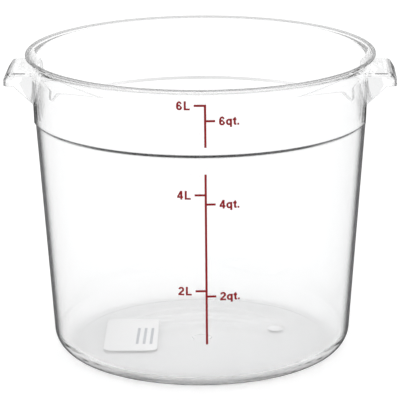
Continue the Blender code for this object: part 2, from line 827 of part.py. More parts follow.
def make_round_sticker(group, material):
    bpy.ops.mesh.primitive_cylinder_add(
        vertices=STICKER_SIDES,
        radius=STICKER_RADIUS,
        depth=PAPER_THICKNESS,
        location=place_on_floor(STICKER_CENTRE_SHARES),
    )
    item = bpy.context.active_object
    item.name = "round_sticker"
    for owner in list(item.users_collection):
        owner.objects.unlink(item)
    group.objects.link(item)
    item.data.materials.append(material)


def smooth_round_pieces(group):
    for item in group.objects:
        item.data.shade_smooth()
        if item.data.polygons:
            item.data.set_sharp_from_angle(angle=SMOOTH_ANGLE)


def main():
    clear_scene()
    parts = make_collection(COLLECTION_NAME)
    cutters = make_collection(CUTTER_COLLECTION_NAME)
    clear_plastic = make_material("clear_plastic", CLEAR_PLASTIC_COLOUR, 0.05, 1.0)
    red_ink = make_material("red_ink", RED_INK_COLOUR, 0.45, 0.0)
    white_paper = make_material("white_paper", WHITE_PAPER_COLOUR, 0.6, 0.0)
    make_tub(parts, cutters, clear_plastic)
    make_scale(parts, red_ink)
    make_base_label(parts, white_paper)
    make_round_sticker(parts, white_paper)
    smooth_round_pieces(parts)


main()
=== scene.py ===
"""Clear round food storage tub with two hollow side handles and a printed volume scale.

Metres, +Z up, the origin on the surface that the tub stands on, the handles along X and the
printed scale facing -Y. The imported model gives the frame, and each piece is built round it.
"""

import math

import bmesh
import bpy
from bpy.props import FloatProperty, FloatVectorProperty, IntProperty, PointerProperty
from mathutils import Matrix, Vector


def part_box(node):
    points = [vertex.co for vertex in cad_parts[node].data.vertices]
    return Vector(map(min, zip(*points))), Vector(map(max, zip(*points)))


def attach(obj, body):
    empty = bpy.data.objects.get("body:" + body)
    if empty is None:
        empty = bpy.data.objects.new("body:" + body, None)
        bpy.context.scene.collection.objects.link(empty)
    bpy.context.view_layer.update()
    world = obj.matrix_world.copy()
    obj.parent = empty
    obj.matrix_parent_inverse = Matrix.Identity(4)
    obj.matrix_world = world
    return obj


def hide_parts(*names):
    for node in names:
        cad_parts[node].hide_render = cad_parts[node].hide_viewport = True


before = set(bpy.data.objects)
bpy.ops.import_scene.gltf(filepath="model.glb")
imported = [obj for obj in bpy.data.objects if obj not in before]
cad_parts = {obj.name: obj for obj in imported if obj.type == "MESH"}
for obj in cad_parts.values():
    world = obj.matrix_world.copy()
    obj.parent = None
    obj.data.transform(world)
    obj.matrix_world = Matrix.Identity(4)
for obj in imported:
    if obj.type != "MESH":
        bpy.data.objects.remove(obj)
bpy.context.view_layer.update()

bl_info = {
    "name": "Clear Round Storage Tub",
    "version": (1, 0, 0),
    "blender": (4, 5, 0),
    "location": "View3D > Sidebar > Tub",
    "description": "Builds a clear round food tub with its printed scale, label and stage",
    "category": "Add Mesh",
}

TUB_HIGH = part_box("tub")[1]
LABEL_LOW, LABEL_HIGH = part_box("base_label")
STICKER_LOW, STICKER_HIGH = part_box("round_sticker")
LITRE_NODES = {figure: "mark_" + figure + "l_" for figure in "642"}
QUART_NODES = {figure: "mark_" + figure + "qt_" for figure in "642"}


def length(name, description, default):
    """A size in metres that the sidebar shows in scene units."""
    return FloatProperty(
        name=name, description=description, default=default, unit="LENGTH", precision=5
    )


def turn(name, description, default):
    """An angle, given in degrees and kept in radians."""
    return FloatProperty(
        name=name, description=description, default=math.radians(default), subtype="ANGLE"
    )


def colour(name, description, default):
    return FloatVectorProperty(
        name=name,
        description=description,
        default=default,
        size=3,
        subtype="COLOR",
        min=0.0,
        max=1.0,
    )


def position(name, description, default):
    """A place in metres."""
    return FloatVectorProperty(
        name=name, description=description, default=default, size=3, subtype="TRANSLATION"
    )


def number(name, description, default):
    return FloatProperty(name=name, description=description, default=default)


def count(name, description, default):
    return IntProperty(name=name, description=description, default=default)


class TubSizes(bpy.types.PropertyGroup):
    height: length("Height", "Ground to the top of the lip", TUB_HIGH.z)
    rim_radius: length("Rim radius", "Axis to the outer edge of the lip", TUB_HIGH.y)
    lip_edge: length("Lip edge", "Height of the lip's outer edge", 0.0018)
    lip_fall: length("Lip fall", "How far the lip's top falls outwards", 0.0002)
    lip_round: length("Lip rounding", "Rounding of the lip's two outer corners", 0.0006)
    lip_land: length("Lip land", "Width of the level land on the lip", 0.0016)
    land_rise: length("Land rise", "Height of the bevel inside the land", 0.0020)
    outer_flare_height: length("Outer flare height", "Lip down to the band", 0.0140)
    outer_flare_width: length("Outer flare width", "Band out to the lip", 0.0031)
    inner_flare_height: length("Inner flare height", "Depth of the inner flare", 0.0100)
    inner_flare_width: length("Inner flare width", "Width of the inner flare", 0.0031)
    band_height: length("Band height", "Lip down to the underside of the ledge", 0.0439)
    band_draft: length("Band draft", "How far the band leans out", 0.0009)
    ledge_step: length("Ledge step", "How far the band stands out over the wall", 0.0019)
    ledge_slope: length("Ledge slope", "Height of the sloping underside", 0.0017)
    ledge_round: length("Ledge rounding", "Rounding of the slope's corners", 0.0004)
    bay_half_width: length("Bay half width", "Middle of a handle to the band's end", 0.0250)
    bay_corner: length("Bay corner", "Rounding of the band's lower end corners", 0.0030)
    wall_draft: length("Wall draft", "How far the wall leans out up to the ledge", 0.0108)
    wall: length("Wall", "Thickness of the wall", 0.0027)
    base_round: length("Base rounding", "Outer radius between wall and ground", 0.0149)
    floor: length("Floor", "Thickness of the middle of the floor", 0.0030)
    floor_round: length("Floor rounding", "Inner radius between floor and wall", 0.0120)
    foot_inset: length("Foot inset", "Wall's foot in to the raised middle", 0.0373)
    foot_step: length("Foot step", "How far the middle is raised off the ground", 0.0011)
    foot_slope: length("Foot slope", "Width of the slope up to the middle", 0.0200)
    gate_radius: length("Gate mark radius", "Round moulding mark under the floor", 0.0061)
    gate_depth: length("Gate mark depth", "Depth of the moulding mark", 0.0004)
    cut_over: length("Cut overrun", "How far a cutter runs on past what it cuts", 0.0050)
    turn_steps: count("Turn steps", "Faces round the turned tub", 192)
    round_steps: count("Round steps", "Faces across each large rounding", 20)
    fine_steps: count("Fine steps", "Faces across each small rounding", 6)


class HandleSizes(bpy.types.PropertyGroup):
    reach: length("Reach", "Axis to the outer face of the handle", TUB_HIGH.x)
    drop: length("Drop", "Top of the lip down to the plate", 0.0100)
    depth: length("Depth", "Plate down to the foot of the skirt", 0.0090)
    slope_width: length("Slope width", "Width of the sloping outer edge", 0.0032)
    slope_height: length("Slope height", "Height of the sloping outer edge", 0.0050)
    half_width: length("Half width", "Middle of the handle to its side web", 0.0230)
    corner: length("Corner", "Rounding of the two outer corners in plan", 0.0045)
    wall: length("Handle wall", "Thickness of plate, skirt and webs", 0.0025)
    skirt_foot: length("Skirt foot", "Level stretch at the foot of each web", 0.0067)
    rake: length("Web rake", "How far the web runs down to the wall", 0.0115)
    edge_round: length("Edge rounding", "Rounding of the handle's edges", 0.0005)
    pin_radius: length("Pin mark radius", "Round mould mark on the plate", 0.0018)
    pin_depth: length("Pin mark depth", "Depth of the mould mark", 0.0004)
    pin_inset: length("Pin mark inset", "Outer face in to the mould mark", 0.0103)
    pin_behind: length("Pin mark behind", "How far it lies behind the middle", 0.0030)
    corner_steps: count("Corner steps", "Faces across a handle's corner", 8)
    edge_steps: count("Edge steps", "Faces across a handle's rounded edge", 3)
    pin_sides: count("Pin mark sides", "Faces round the mould mark", 32)


class PrintSizes(bpy.types.PropertyGroup):
    turn: turn("Scale turn", "Turn of the scale from the front towards +X", 3.0)
    lean: turn("Scale lean", "Lean of the scale's top towards -X", 0.3)
    pivot_share: number("Lean pivot", "Height that the lean turns about, as a share", 0.505)
    lift: length("Ink lift", "Gap between the wall and the ink", 0.00005)
    thickness: length("Ink thickness", "Thickness of the printed ink", 0.00005)
    line_width: length("Line width", "Width of the vertical lines", 0.0014)
    tick: length("Tick thickness", "Height of each tick", 0.0014)
    left_tick: length("Left tick", "Length of the litre ticks", 0.0069)
    right_tick: length("Right tick", "Length of the quart ticks", 0.0061)
    word_gap: length("Word gap", "Gap between a tick and its word", 0.0024)
    litre_gap: length("Litre gap", "Gap between a figure and its L", 0.0010)
    quart_gap: length("Quart gap", "Gap between the letters of a quart mark", 0.0005)
    slice: length("Ink slice", "Height of each face of the ink", 0.00190)


class TypeSizes(bpy.types.PropertyGroup):
    height: length("Figure height", "Foot to the top of a figure", 0.0057)
    width: length("Figure width", "Width of a figure", 0.0037)
    upright: length("Upright stroke", "Width of an upright stroke", 0.00128)
    level: length("Level stroke", "Height of a level stroke", 0.00112)
    bowl_share: number("Six bowl", "Height of the 6's bowl, as a share", 0.62)
    arm_end: turn("Six arm end", "Where the 6's arm stops", 30.0)
    bar_share: number("Four bar", "Height under the 4's bar, as a share", 0.19)
    stem_share: number("Four stem", "Left side of the 4's stem, as a share", 0.52)
    hook_start: turn("Two hook start", "Where the 2's hook starts", 172.0)
    hook_end: turn("Two hook end", "Where the 2's hook turns into its slope", -35.0)
    foot_share: number("Two foot", "Where the slope meets the foot, as a share", 0.43)
    l_width: length("L width", "Width of the letter L", 0.0037)
    small_height: length("Small height", "Height of the small letters", 0.0041)
    q_width: length("q width", "Width of the letter q", 0.0038)
    q_tail: length("q tail", "How far the q hangs below the line", 0.0012)
    t_width: length("t width", "Width of the letter t", 0.0023)
    t_height: length("t height", "Height of the letter t", 0.0052)
    t_stem_share: number("t stem", "Left side of the t's stem, as a share", 0.25)
    stop_width: length("Stop width", "Side of the full stop", 0.0012)
    steps: count("Letter steps", "Faces across a quarter of a letter's bowl", 9)


class PaperSizes(bpy.types.PropertyGroup):
    width: length("Label width", "Across the label, along X", 0.0355)
    length: length("Label length", "Along the label, along Y", 0.0660)
    corner: length("Label corner", "Rounding of the label's corners", 0.0058)
    turn: turn("Label turn", "Turn of the label as it was stuck on", 1.0)
    sticker_radius: length("Sticker radius", "Radius of the round sticker", 0.0053)
    gap: length("Paper gap", "Gap between the floor and the paper", 0.00004)
    thickness: length("Paper thickness", "Thickness of label and sticker", 0.00012)
    corner_steps: count("Paper corner steps", "Faces across a label corner", 12)
    sticker_sides: count("Sticker sides", "Faces round the sticker", 64)


class Finishes(bpy.types.PropertyGroup):
    plastic_tint: colour("Plastic tint", "Clear plastic", (0.995, 0.996, 0.997))
    plastic_tint_deep: colour("Deep tint", "Thicker streaks of it", (0.984, 0.988, 0.990))
    # Painted shade: the colour the clear plastic is darkened to where it is seen along its face
    painted_edge_colour: colour("Plastic edge", "Wall seen along its face", (0.02, 0.02, 0.022))
    # Painted shade: the colour of the dark line painted on the ledge's step
    painted_ledge_colour: colour("Plastic step", "Thick face of the ledge", (0.004, 0.004, 0.005))
    plastic_ior: number("Plastic IOR", "Of clear polycarbonate", 1.586)
    plastic_ripple: length("Plastic ripple", "Depth of the moulding ripple", 0.00002)
    ink_colour: colour("Ink", "Dense printed ink", (0.275, 0.0075, 0.0115))
    ink_thin: colour("Thin ink", "Where the print is thinner", (0.345, 0.0110, 0.0165))
    ink_roughness: number("Ink roughness", "Of the dried ink", 0.45)
    ink_unevenness: number("Ink unevenness", "Rougher where the ink is thin", 0.15)
    ink_specular: number("Ink specular", "Level of the ink's own gloss", 0.25)
    ink_depth: length("Ink depth", "Depth of the uneven ink", 0.00001)
    ink_relief: number("Ink relief", "Strength of the uneven ink", 0.3)
    paper_colour: colour("Paper", "White coated paper", (0.955, 0.955, 0.955))
    paper_fibre: colour("Paper fibre", "Slightly darker fibres", (0.90, 0.90, 0.905))
    paper_roughness: number("Paper roughness", "Of the coated paper", 0.55)
    paper_specular: number("Paper specular", "Level of the paper's own gloss", 0.3)
    paper_depth: length("Paper depth", "Depth of the fibres", 0.00002)
    paper_relief: number("Paper relief", "Strength of the fibres", 0.4)
    rule_colour: colour("Ruled lines", "Pale grey write-on lines", (0.60, 0.61, 0.64))
    rule_step: length("Line spacing", "From one write-on line to the next", 0.0046)
    rule_inset: length("Line inset", "Label's end in to the middle line", 0.0092)
    rule_width: length("Line thickness", "Of each write-on line", 0.00184)
    rule_length: length("Line length", "Of each write-on line", 0.0330)
    floor_colour: colour("Ground", "Plain pale ground", (0.9, 0.9, 0.9))
    floor_roughness: number("Ground roughness", "Of the plain ground", 0.8)


class StageSettings(bpy.types.PropertyGroup):
    camera_place: position("Camera place", "Where it stands", (0.0394, -1.6136, 0.5558))
    camera_aim: position("Camera aim", "Middle of the picture", (-0.0008, 0.0, 0.0988))
    camera_roll: turn("Camera roll", "Turn of the picture", -0.34)
    focal_length: number("Focal length", "In millimetres", 228.2)
    sensor_width: number("Sensor width", "In millimetres", 36.0)
    ground_size: length("Ground size", "Side of the square ground", 6.0)
    ground_drop: length("Ground drop", "Gap under the foot ring", 0.0002)
    ground_lift: number("Ground lift", "White that the ground shows by itself", 0.22)
    fill: number("Fill light", "Light of the surroundings on dull surfaces", 1.0)
    mirrored: number("Mirrored light", "Light of what glossy faces mirror", 0.92)
    light_passes: count("Light passes", "Faces that light may pass or mirror off", 72)
    two_walls: number("Through two walls", "Light of the sky through both walls", 0.95)
    dark_side: number("Dark side", "Light of the ground on the first wall's face", 0.15)
    inner_side: number("Inner side", "Light of the ground inside the first wall", 0.95)
    inner_fill: number("Inner fill", "Light that reaches dull surfaces through plastic", 2.0)


def props():
    return bpy.context.scene.storage_tub


class TubSettings(bpy.types.PropertyGroup):
    tub: PointerProperty(type=TubSizes)
    handle: PointerProperty(type=HandleSizes)
    ink: PointerProperty(type=PrintSizes)
    type: PointerProperty(type=TypeSizes)
    paper: PointerProperty(type=PaperSizes)
    finish: PointerProperty(type=Finishes)
    stage: PointerProperty(type=StageSettings)


# Shapes of the turned tub


def arc(centre, radii, start, end, steps):
    """Points of an elliptic arc in a plane, angles in degrees."""
    points = []
    for index in range(steps + 1):
        angle = math.radians(start + (end - start) * index / steps)
        across = centre[0] + radii[0] * math.cos(angle)
        up = centre[1] + radii[1] * math.sin(angle)
        points.append((across, up))
    return points


def straight(start, end, steps):
    """Points between two ends, without the ends themselves."""
    points = []
    for index in range(1, steps):
        share = index / steps
        across = start[0] + (end[0] - start[0]) * share
        up = start[1] + (end[1] - start[1]) * share
        points.append((across, up))
    return points


def rounded_corner(before, corner, after, radius, steps):
    """Points of a round corner between two straight lines."""
    corner = Vector(corner)
    to_before = (Vector(before) - corner).normalized()
    to_after = (Vector(after) - corner).normalized()
    half = to_before.angle(to_after) / 2
    reach = radius / math.tan(half)
    middle = corner + (to_before + to_after).normalized() * radius / math.sin(half)
    first = corner + to_before * reach - middle
    last = corner + to_after * reach - middle
    points = []
    for index in range(steps + 1):
        direction = first.lerp(last, index / steps).normalized()
        points.append(tuple(middle + direction * radius))
    return points


def band_top_radius(size):
    return size.rim_radius - size.outer_flare_width


def band_bottom_radius(size):
    return band_top_radius(size) - size.band_draft


def under_ledge_radius(size):
    return band_bottom_radius(size) - size.ledge_step


def ledge_height(size):
    return size.height - size.band_height


def band_top_height(size):
    return size.height - size.outer_flare_height


def floor_level(size):
    return size.foot_step + size.floor


def lower_wall_radius(size, height):
    """Outer radius of the tapered wall below the ledge."""
    foot = under_ledge_radius(size) - size.wall_draft
    return foot + size.wall_draft * height / ledge_height(size)


def inner_wall_radius(size, height):
    return lower_wall_radius(size, height) - size.wall


def bay_radius(size, height):
    """Radius of the plain wall behind a handle, as deep as the ledge under the band."""
    share = (height - ledge_height(size)) / (band_top_height(size) - ledge_height(size))
    return under_ledge_radius(size) + size.band_draft * share


def outer_radius(size, height):
    """Outer radius of the wall, the band or the flare at a height."""
    if height < ledge_height(size):
        return lower_wall_radius(size, height)
    band_top = band_top_height(size)
    if height > band_top:
        centre = size.rim_radius - size.lip_round
        width = centre - band_top_radius(size)
        rise = (height - band_top) / (size.outer_flare_height - size.lip_edge)
        return centre - width * math.sqrt(1.0 - min(rise, 1.0) ** 2)
    start = ledge_height(size) + size.ledge_slope
    share = (height - start) / (band_top - start)
    return band_bottom_radius(size) + size.band_draft * share


def rounding(size, radius_at, radius, ground, steps):
    """Arc from a drafted wall down to a level floor."""
    draft = math.atan(size.wall_draft / ledge_height(size))
    centre_height = ground + radius
    centre = (radius_at(size, centre_height) - radius / math.cos(draft), centre_height)
    return arc(centre, (radius, radius), -math.degrees(draft), -90.0, steps)


def inside_points(size):
    """From the axis out over the floor, up the wall and out to the land."""
    level = floor_level(size)
    corner = rounding(size, inner_wall_radius, size.floor_round, level, size.round_steps)
    corner.reverse()
    flare_start = size.height - size.inner_flare_height
    flare_foot = inner_wall_radius(size, flare_start)
    centre = (flare_foot + size.inner_flare_width, flare_start)
    radii = (size.inner_flare_width, size.inner_flare_height - size.land_rise)
    points = [(0.0, level)]
    points += straight(points[0], corner[0], size.round_steps)
    points += corner
    points += straight(corner[-1], (flare_foot, flare_start), size.round_steps * 3)
    points += arc(centre, radii, 180.0, 90.0, size.round_steps)
    return points


def lip_points(size):
    edge = size.rim_radius - size.lip_round
    top_centre = (edge, size.height - size.lip_fall - size.lip_round)
    under_centre = (edge, size.height - size.lip_edge + size.lip_round)
    radii = (size.lip_round, size.lip_round)
    points = [(edge - size.lip_land, size.height)]
    points += arc(top_centre, radii, 90.0, 0.0, size.fine_steps)
    points += arc(under_centre, radii, 0.0, -90.0, size.fine_steps)
    return points


def outside_points(size):
    """Down the flare, the band, the ledge and the wall, then in under the floor."""
    band_top = band_top_height(size)
    flare_centre = (size.rim_radius - size.lip_round, band_top)
    flare_radii = (
        flare_centre[0] - band_top_radius(size),
        size.outer_flare_height - size.lip_edge,
    )
    flare = arc(flare_centre, flare_radii, 90.0, 180.0, size.round_steps)[1:]
    wall_foot = rounding(size, lower_wall_radius, size.base_round, 0.0, size.round_steps)
    slope_top = (band_bottom_radius(size), ledge_height(size) + size.ledge_slope)
    slope_foot = (under_ledge_radius(size), ledge_height(size))
    corner = (size.ledge_round, size.fine_steps)
    top_corner = rounded_corner(flare[-1], slope_top, slope_foot, *corner)
    foot_corner = rounded_corner(slope_top, slope_foot, wall_foot[0], *corner)
    foot = lower_wall_radius(size, 0.0) - size.foot_inset
    gate_level = size.foot_step + size.gate_depth
    underside = [
        (foot, 0.0),
        (foot - size.foot_slope, size.foot_step),
        (size.gate_radius + size.gate_depth, size.foot_step),
        (size.gate_radius, gate_level),
        (0.0, gate_level),
    ]
    band = straight(flare[-1], top_corner[0], size.round_steps // 2)
    wall = straight(foot_corner[-1], wall_foot[0], size.round_steps * 2)
    return flare + band + top_corner + foot_corner + wall + wall_foot + underside


# Modelling helpers

# Points nearer than this are one point
MERGE_DISTANCE = 0.00002
# An edge stands upright if it rises by more than this share of its length
UPRIGHT_SHARE = 0.5
# Folds sharper than these, in radians, are a block's corner, are rounded, or stay sharp
CORNER_FOLD = 1.0
EDGE_FOLD = math.radians(28.0)
SMOOTH_FOLD = math.radians(30.0)


def deselect_all():
    for item in bpy.context.selected_objects:
        item.select_set(False)


def only(item):
    """Make one object the selected and active one."""
    deselect_all()
    item.select_set(True)
    bpy.context.view_layer.objects.active = item


def apply_place(item):
    """Put an object's place, turn and scale into its mesh."""
    only(item)
    bpy.ops.object.transform_apply(location=True, rotation=True, scale=True)


def placed(name):
    """The primitive just added, named and with its place in its mesh."""
    item = bpy.context.active_object
    item.name = name
    apply_place(item)
    return item


def apply_boolean(item, other, operation):
    """Join or cut with another object, which is then deleted."""
    only(item)
    cut = item.modifiers.new(operation.lower(), "BOOLEAN")
    cut.operation = operation
    cut.solver = "EXACT"
    cut.object = other
    bpy.ops.object.modifier_apply(modifier=cut.name)
    bpy.data.objects.remove(other)


def copy_of(master, name):
    """A copy with its own mesh."""
    copy = master.copy()
    copy.data = master.data.copy()
    copy.name = name
    bpy.context.scene.collection.objects.link(copy)
    return copy


def turn_faces_out():
    """Point all faces outwards in edit mode, and go back to object mode."""
    bpy.ops.mesh.select_all(action="SELECT")
    bpy.ops.mesh.normals_make_consistent(inside=False)
    bpy.ops.object.mode_set(mode="OBJECT")


def start_drawing(name):
    """A new empty mesh object, open in edit mode."""
    deselect_all()
    bpy.ops.mesh.primitive_plane_add(location=(0.0, 0.0, 0.0))
    item = bpy.context.active_object
    item.name = name
    bpy.ops.object.mode_set(mode="EDIT")
    bpy.ops.mesh.delete(type="VERT")
    return item


def draw_chain(places):
    """Put down a point and extrude it along the places in edit mode."""
    bpy.ops.mesh.select_all(action="DESELECT")
    bpy.ops.mesh.primitive_plane_add(location=(0.0, 0.0, 0.0))
    bpy.ops.mesh.merge(type="CENTER")
    bpy.ops.transform.translate(value=places[0])
    for start, end in zip(places, places[1:]):
        bpy.ops.mesh.extrude_region_move(TRANSFORM_OT_translate={"value": end - start})


def slab(name, places, across):
    """A flat outline, filled and extruded across."""
    item = start_drawing(name)
    draw_chain(places)
    bpy.ops.mesh.select_all(action="SELECT")
    bpy.ops.mesh.edge_face_add()
    bpy.ops.mesh.extrude_region_move(TRANSFORM_OT_translate={"value": across})
    turn_faces_out()
    return item


def lathe(name, points, steps):
    """Draw a profile as radius and height, and spin it about the Z axis."""
    item = start_drawing(name)
    draw_chain([Vector((radius, 0.0, height)) for radius, height in points])
    bpy.ops.mesh.select_all(action="SELECT")
    bpy.ops.mesh.spin(
        steps=steps, angle=math.radians(360.0), center=(0.0, 0.0, 0.0), axis=(0.0, 0.0, 1.0)
    )
    bpy.ops.mesh.select_all(action="SELECT")
    bpy.ops.mesh.remove_doubles(threshold=MERGE_DISTANCE)
    turn_faces_out()
    apply_place(item)
    return item


def finish_piece(item, material, nodes):
    """Give a piece its finish, and let it ride with the body in place of its nodes."""
    item.data.materials.clear()
    item.data.materials.append(material)
    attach(item, "root")
    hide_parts(*nodes)


# Bays and handles


def bay_outline(size, handle):
    """The bay seen along X, with its feet flared and its top corners rounded."""
    corner = (size.bay_corner, size.bay_corner)
    foot = ledge_height(size)
    top = size.height - handle.drop - handle.wall / 2
    foot_centre = (size.bay_half_width + size.bay_corner, foot + size.bay_corner)
    top_centre = (size.bay_half_width - size.bay_corner, top - size.bay_corner)
    side = [(foot_centre[0], foot - size.cut_over)]
    side += arc(foot_centre, corner, 270.0, 180.0, size.fine_steps)
    side += arc(top_centre, corner, 0.0, 90.0, size.fine_steps)
    return side + [(-across, up) for across, up in reversed(side)]


def make_bay(size, handle):
    """What is cut from the band behind the +X handle."""
    places = [Vector((0.0, across, up)) for across, up in bay_outline(size, handle)]
    reach = size.rim_radius + size.cut_over
    bay = slab("bay", places, Vector((reach, 0.0, 0.0)))
    foot = ledge_height(size)
    top = size.height - handle.drop
    low = foot - size.cut_over
    core = [
        (0.0, top),
        (bay_radius(size, top), top),
        (under_ledge_radius(size), foot),
        (outer_radius(size, low) + size.cut_over, low),
        (0.0, low),
    ]
    apply_boolean(bay, lathe("bay_core", core, size.turn_steps), "DIFFERENCE")
    return bay


def bevel_upright_corners(item, reach, radius, steps):
    """Round the upright edges that stand at the handle's outer face."""
    only(item)
    bpy.ops.object.mode_set(mode="EDIT")
    bpy.ops.mesh.select_all(action="DESELECT")
    cage = bmesh.from_edit_mesh(item.data)
    for edge in cage.edges:
        start, end = (vertex.co for vertex in edge.verts)
        along = end - start
        level = abs(along.y) < MERGE_DISTANCE
        upright = level and abs(along.z) > along.length * UPRIGHT_SHARE
        at_face = max(start.x, end.x) > reach - radius
        if upright and at_face and edge.calc_face_angle() > CORNER_FOLD:
            edge.select_set(True)
    bmesh.update_edit_mesh(item.data)
    bpy.ops.mesh.bevel(offset=radius, segments=steps, affect="EDGES")
    bpy.ops.object.mode_set(mode="OBJECT")


def side_block(name, outline, half_width):
    """A side outline, as X and Z points, extruded across Y about the middle."""
    places = [Vector((reach, -half_width, up)) for reach, up in outline]
    return slab(name, places, Vector((0.0, half_width * 2, 0.0)))


def handle_root(size, handle):
    """X and Z of the web's lowest point, carried on inside the wall to be trimmed."""
    root = under_ledge_radius(size) - size.wall - handle.wall
    bottom = size.height - handle.drop - handle.depth
    foot = handle.reach - handle.skirt_foot
    web_root = bottom - handle.rake
    slope = handle.rake / (foot - bay_radius(size, web_root))
    return root, bottom - slope * (foot - root)


def handle_outline(size, handle):
    """Plate, sloping edge, skirt and raking web as one outline."""
    root, root_height = handle_root(size, handle)
    top = size.height - handle.drop
    bottom = top - handle.depth
    return [
        (root, top),
        (root, root_height),
        (handle.reach - handle.skirt_foot, bottom),
        (handle.reach, bottom),
        (handle.reach, top - handle.slope_height),
        (handle.reach - handle.slope_width, top),
    ]


def hollow_outline(size, handle):
    """The hollow, one handle wall inside the outline and open below."""
    root, root_height = handle_root(size, handle)
    top = size.height - handle.drop
    bottom = root_height - handle.wall
    return [
        (root - handle.wall, top - handle.wall),
        (root - handle.wall, bottom),
        (handle.reach - handle.wall, bottom),
        (handle.reach - handle.wall, top - handle.slope_height),
        (handle.reach - handle.slope_width - handle.wall, top - handle.wall),
    ]


def make_handle(size, handle):
    """One hollow handle on the +X side with raking side webs, open below."""
    block = side_block("handle", handle_outline(size, handle), handle.half_width)
    hollow_half = handle.half_width - handle.wall
    hollow = side_block("handle_hollow", hollow_outline(size, handle), hollow_half)
    bevel_upright_corners(block, handle.reach, handle.corner, handle.corner_steps)
    inner_corner = handle.corner - handle.wall
    inner_reach = handle.reach - handle.wall
    bevel_upright_corners(hollow, inner_reach, inner_corner, handle.corner_steps // 2)
    apply_boolean(block, hollow, "DIFFERENCE")
    only(block)
    edges = block.modifiers.new("edges", "BEVEL")
    edges.width = handle.edge_round
    edges.segments = handle.edge_steps
    edges.limit_method = "ANGLE"
    edges.angle_limit = EDGE_FOLD
    bpy.ops.object.modifier_apply(modifier=edges.name)
    apply_boolean(block, wall_core(size, handle), "DIFFERENCE")
    apply_boolean(block, pin_mark(size, handle), "DIFFERENCE")
    return block


def wall_core(size, handle):
    """A plug as wide as the middle of the wall, which trims the handle's root."""
    top = size.height - handle.drop + handle.wall
    bottom = top - handle.depth - handle.rake * 3
    low = inner_wall_radius(size, bottom) + size.wall / 2
    high = inner_wall_radius(size, top) + size.wall / 2
    bpy.ops.mesh.primitive_cone_add(
        vertices=size.turn_steps,
        radius1=low,
        radius2=high,
        depth=top - bottom,
        location=(0.0, 0.0, (top + bottom) / 2),
    )
    return placed("wall_core")


def pin_mark(size, handle):
    bpy.ops.mesh.primitive_cylinder_add(
        vertices=handle.pin_sides,
        radius=handle.pin_radius,
        depth=handle.pin_depth * 2,
        location=(
            handle.reach - handle.pin_inset,
            handle.pin_behind,
            size.height - handle.drop,
        ),
    )
    return placed("pin_mark")


# Outlines of the printed type, each with its holes


def inside_ellipse(point, centre, radii):
    across = (point[0] - centre[0]) / radii[0]
    up = (point[1] - centre[1]) / radii[1]
    return math.hypot(across, up) < 1.0


def whole_turn(centre, radii, steps):
    """An ellipse as a closed loop, its last point left out because it is the first."""
    return arc(centre, radii, 0.0, 360.0, steps * 4)[:-1]


def figure_six(face):
    """An arm that curls over the top and a round bowl under it, with the bowl's hole."""
    half_width = face.width / 2
    bowl = (half_width, face.height * face.bowl_share / 2)
    arm = (half_width, face.height / 2)
    arm_inside = (arm[0] - face.upright, arm[1] - face.level)
    hole = (bowl[0] - face.upright, bowl[1] - face.level)
    end = math.degrees(face.arm_end)
    outline = arc(arm, arm, end, 180.0, face.steps * 2)
    for point in arc(bowl, bowl, 180.0, 540.0, face.steps * 4):
        if point[1] < bowl[1] or inside_ellipse(point, arm, arm_inside):
            outline.append(point)
    for point in arc(arm, arm_inside, 180.0, end, face.steps * 2):
        if not inside_ellipse(point, bowl, bowl):
            outline.append(point)
    return outline, [whole_turn(bowl, hole, face.steps)]


def figure_four(face):
    """A stem, a level bar and a sloping stroke round a three-cornered hole."""
    bar = face.height * face.bar_share
    bar_top = bar + face.level
    stem = face.width * face.stem_share
    stem_right = stem + face.upright
    rise = face.height - bar_top
    slope = math.hypot(stem, rise)
    outline = [
        (0.0, bar),
        (stem, bar),
        (stem, 0.0),
        (stem_right, 0.0),
        (stem_right, bar),
        (face.width, bar),
        (face.width, bar_top),
        (stem_right, bar_top),
        (stem_right, face.height),
        (stem, face.height),
        (0.0, bar_top),
    ]
    hole = [
        (stem, bar_top),
        (stem, face.height - face.level * slope / stem),
        (face.level * slope / rise, bar_top),
    ]
    return outline, [hole]


def figure_two(face):
    """A hook over the top, a sloping stroke and a level foot."""
    half_width = face.width / 2
    centre = (half_width, face.height - half_width)
    hook = (half_width, half_width)
    hook_inside = (half_width - face.upright, half_width - face.level)
    start, end = math.degrees(face.hook_start), math.degrees(face.hook_end)
    outline = arc(centre, hook_inside, start, end, face.steps * 2)
    outline += [
        (0.0, face.level),
        (0.0, 0.0),
        (face.width, 0.0),
        (face.width, face.level),
        (face.width * face.foot_share, face.level),
    ]
    outline += arc(centre, hook, end, start, face.steps * 2)
    return outline, []


def letter_l(face):
    outline = [
        (0.0, 0.0),
        (face.l_width, 0.0),
        (face.l_width, face.level),
        (face.upright, face.level),
        (face.upright, face.height),
        (0.0, face.height),
    ]
    return outline, []


def letter_q(face):
    """A round bowl with its hole, and a stem with a tail on its right."""
    centre = (face.q_width / 2, face.small_height / 2)
    hole = (centre[0] - face.upright, centre[1] - face.level)
    stem = face.q_width - face.upright
    meeting = math.degrees(math.acos((stem - centre[0]) / centre[0]))
    outline = arc(centre, centre, meeting, 360.0 - meeting, face.steps * 3)
    outline += [
        (stem, -face.q_tail),
        (face.q_width, -face.q_tail),
        (face.q_width, face.small_height),
        (stem, face.small_height),
    ]
    return outline, [whole_turn(centre, hole, face.steps)]


def letter_t(face):
    stem = face.t_width * face.t_stem_share
    stem_right = stem + face.upright
    bar = face.small_height - face.level
    outline = [
        (stem + face.upright / 2, 0.0),
        (face.t_width, 0.0),
        (face.t_width, face.level),
        (stem_right, face.level),
        (stem_right, bar),
        (face.t_width, bar),
        (face.t_width, face.small_height),
        (stem_right, face.small_height),
        (stem_right, face.t_height),
        (stem, face.t_height - face.upright / 2),
        (stem, face.small_height),
        (0.0, face.small_height),
        (0.0, bar),
        (stem, bar),
        (stem, face.upright / 2),
    ]
    return outline, []


def full_stop(face):
    side = face.stop_width
    return [(0.0, 0.0), (side, 0.0), (side, side), (0.0, side)], []


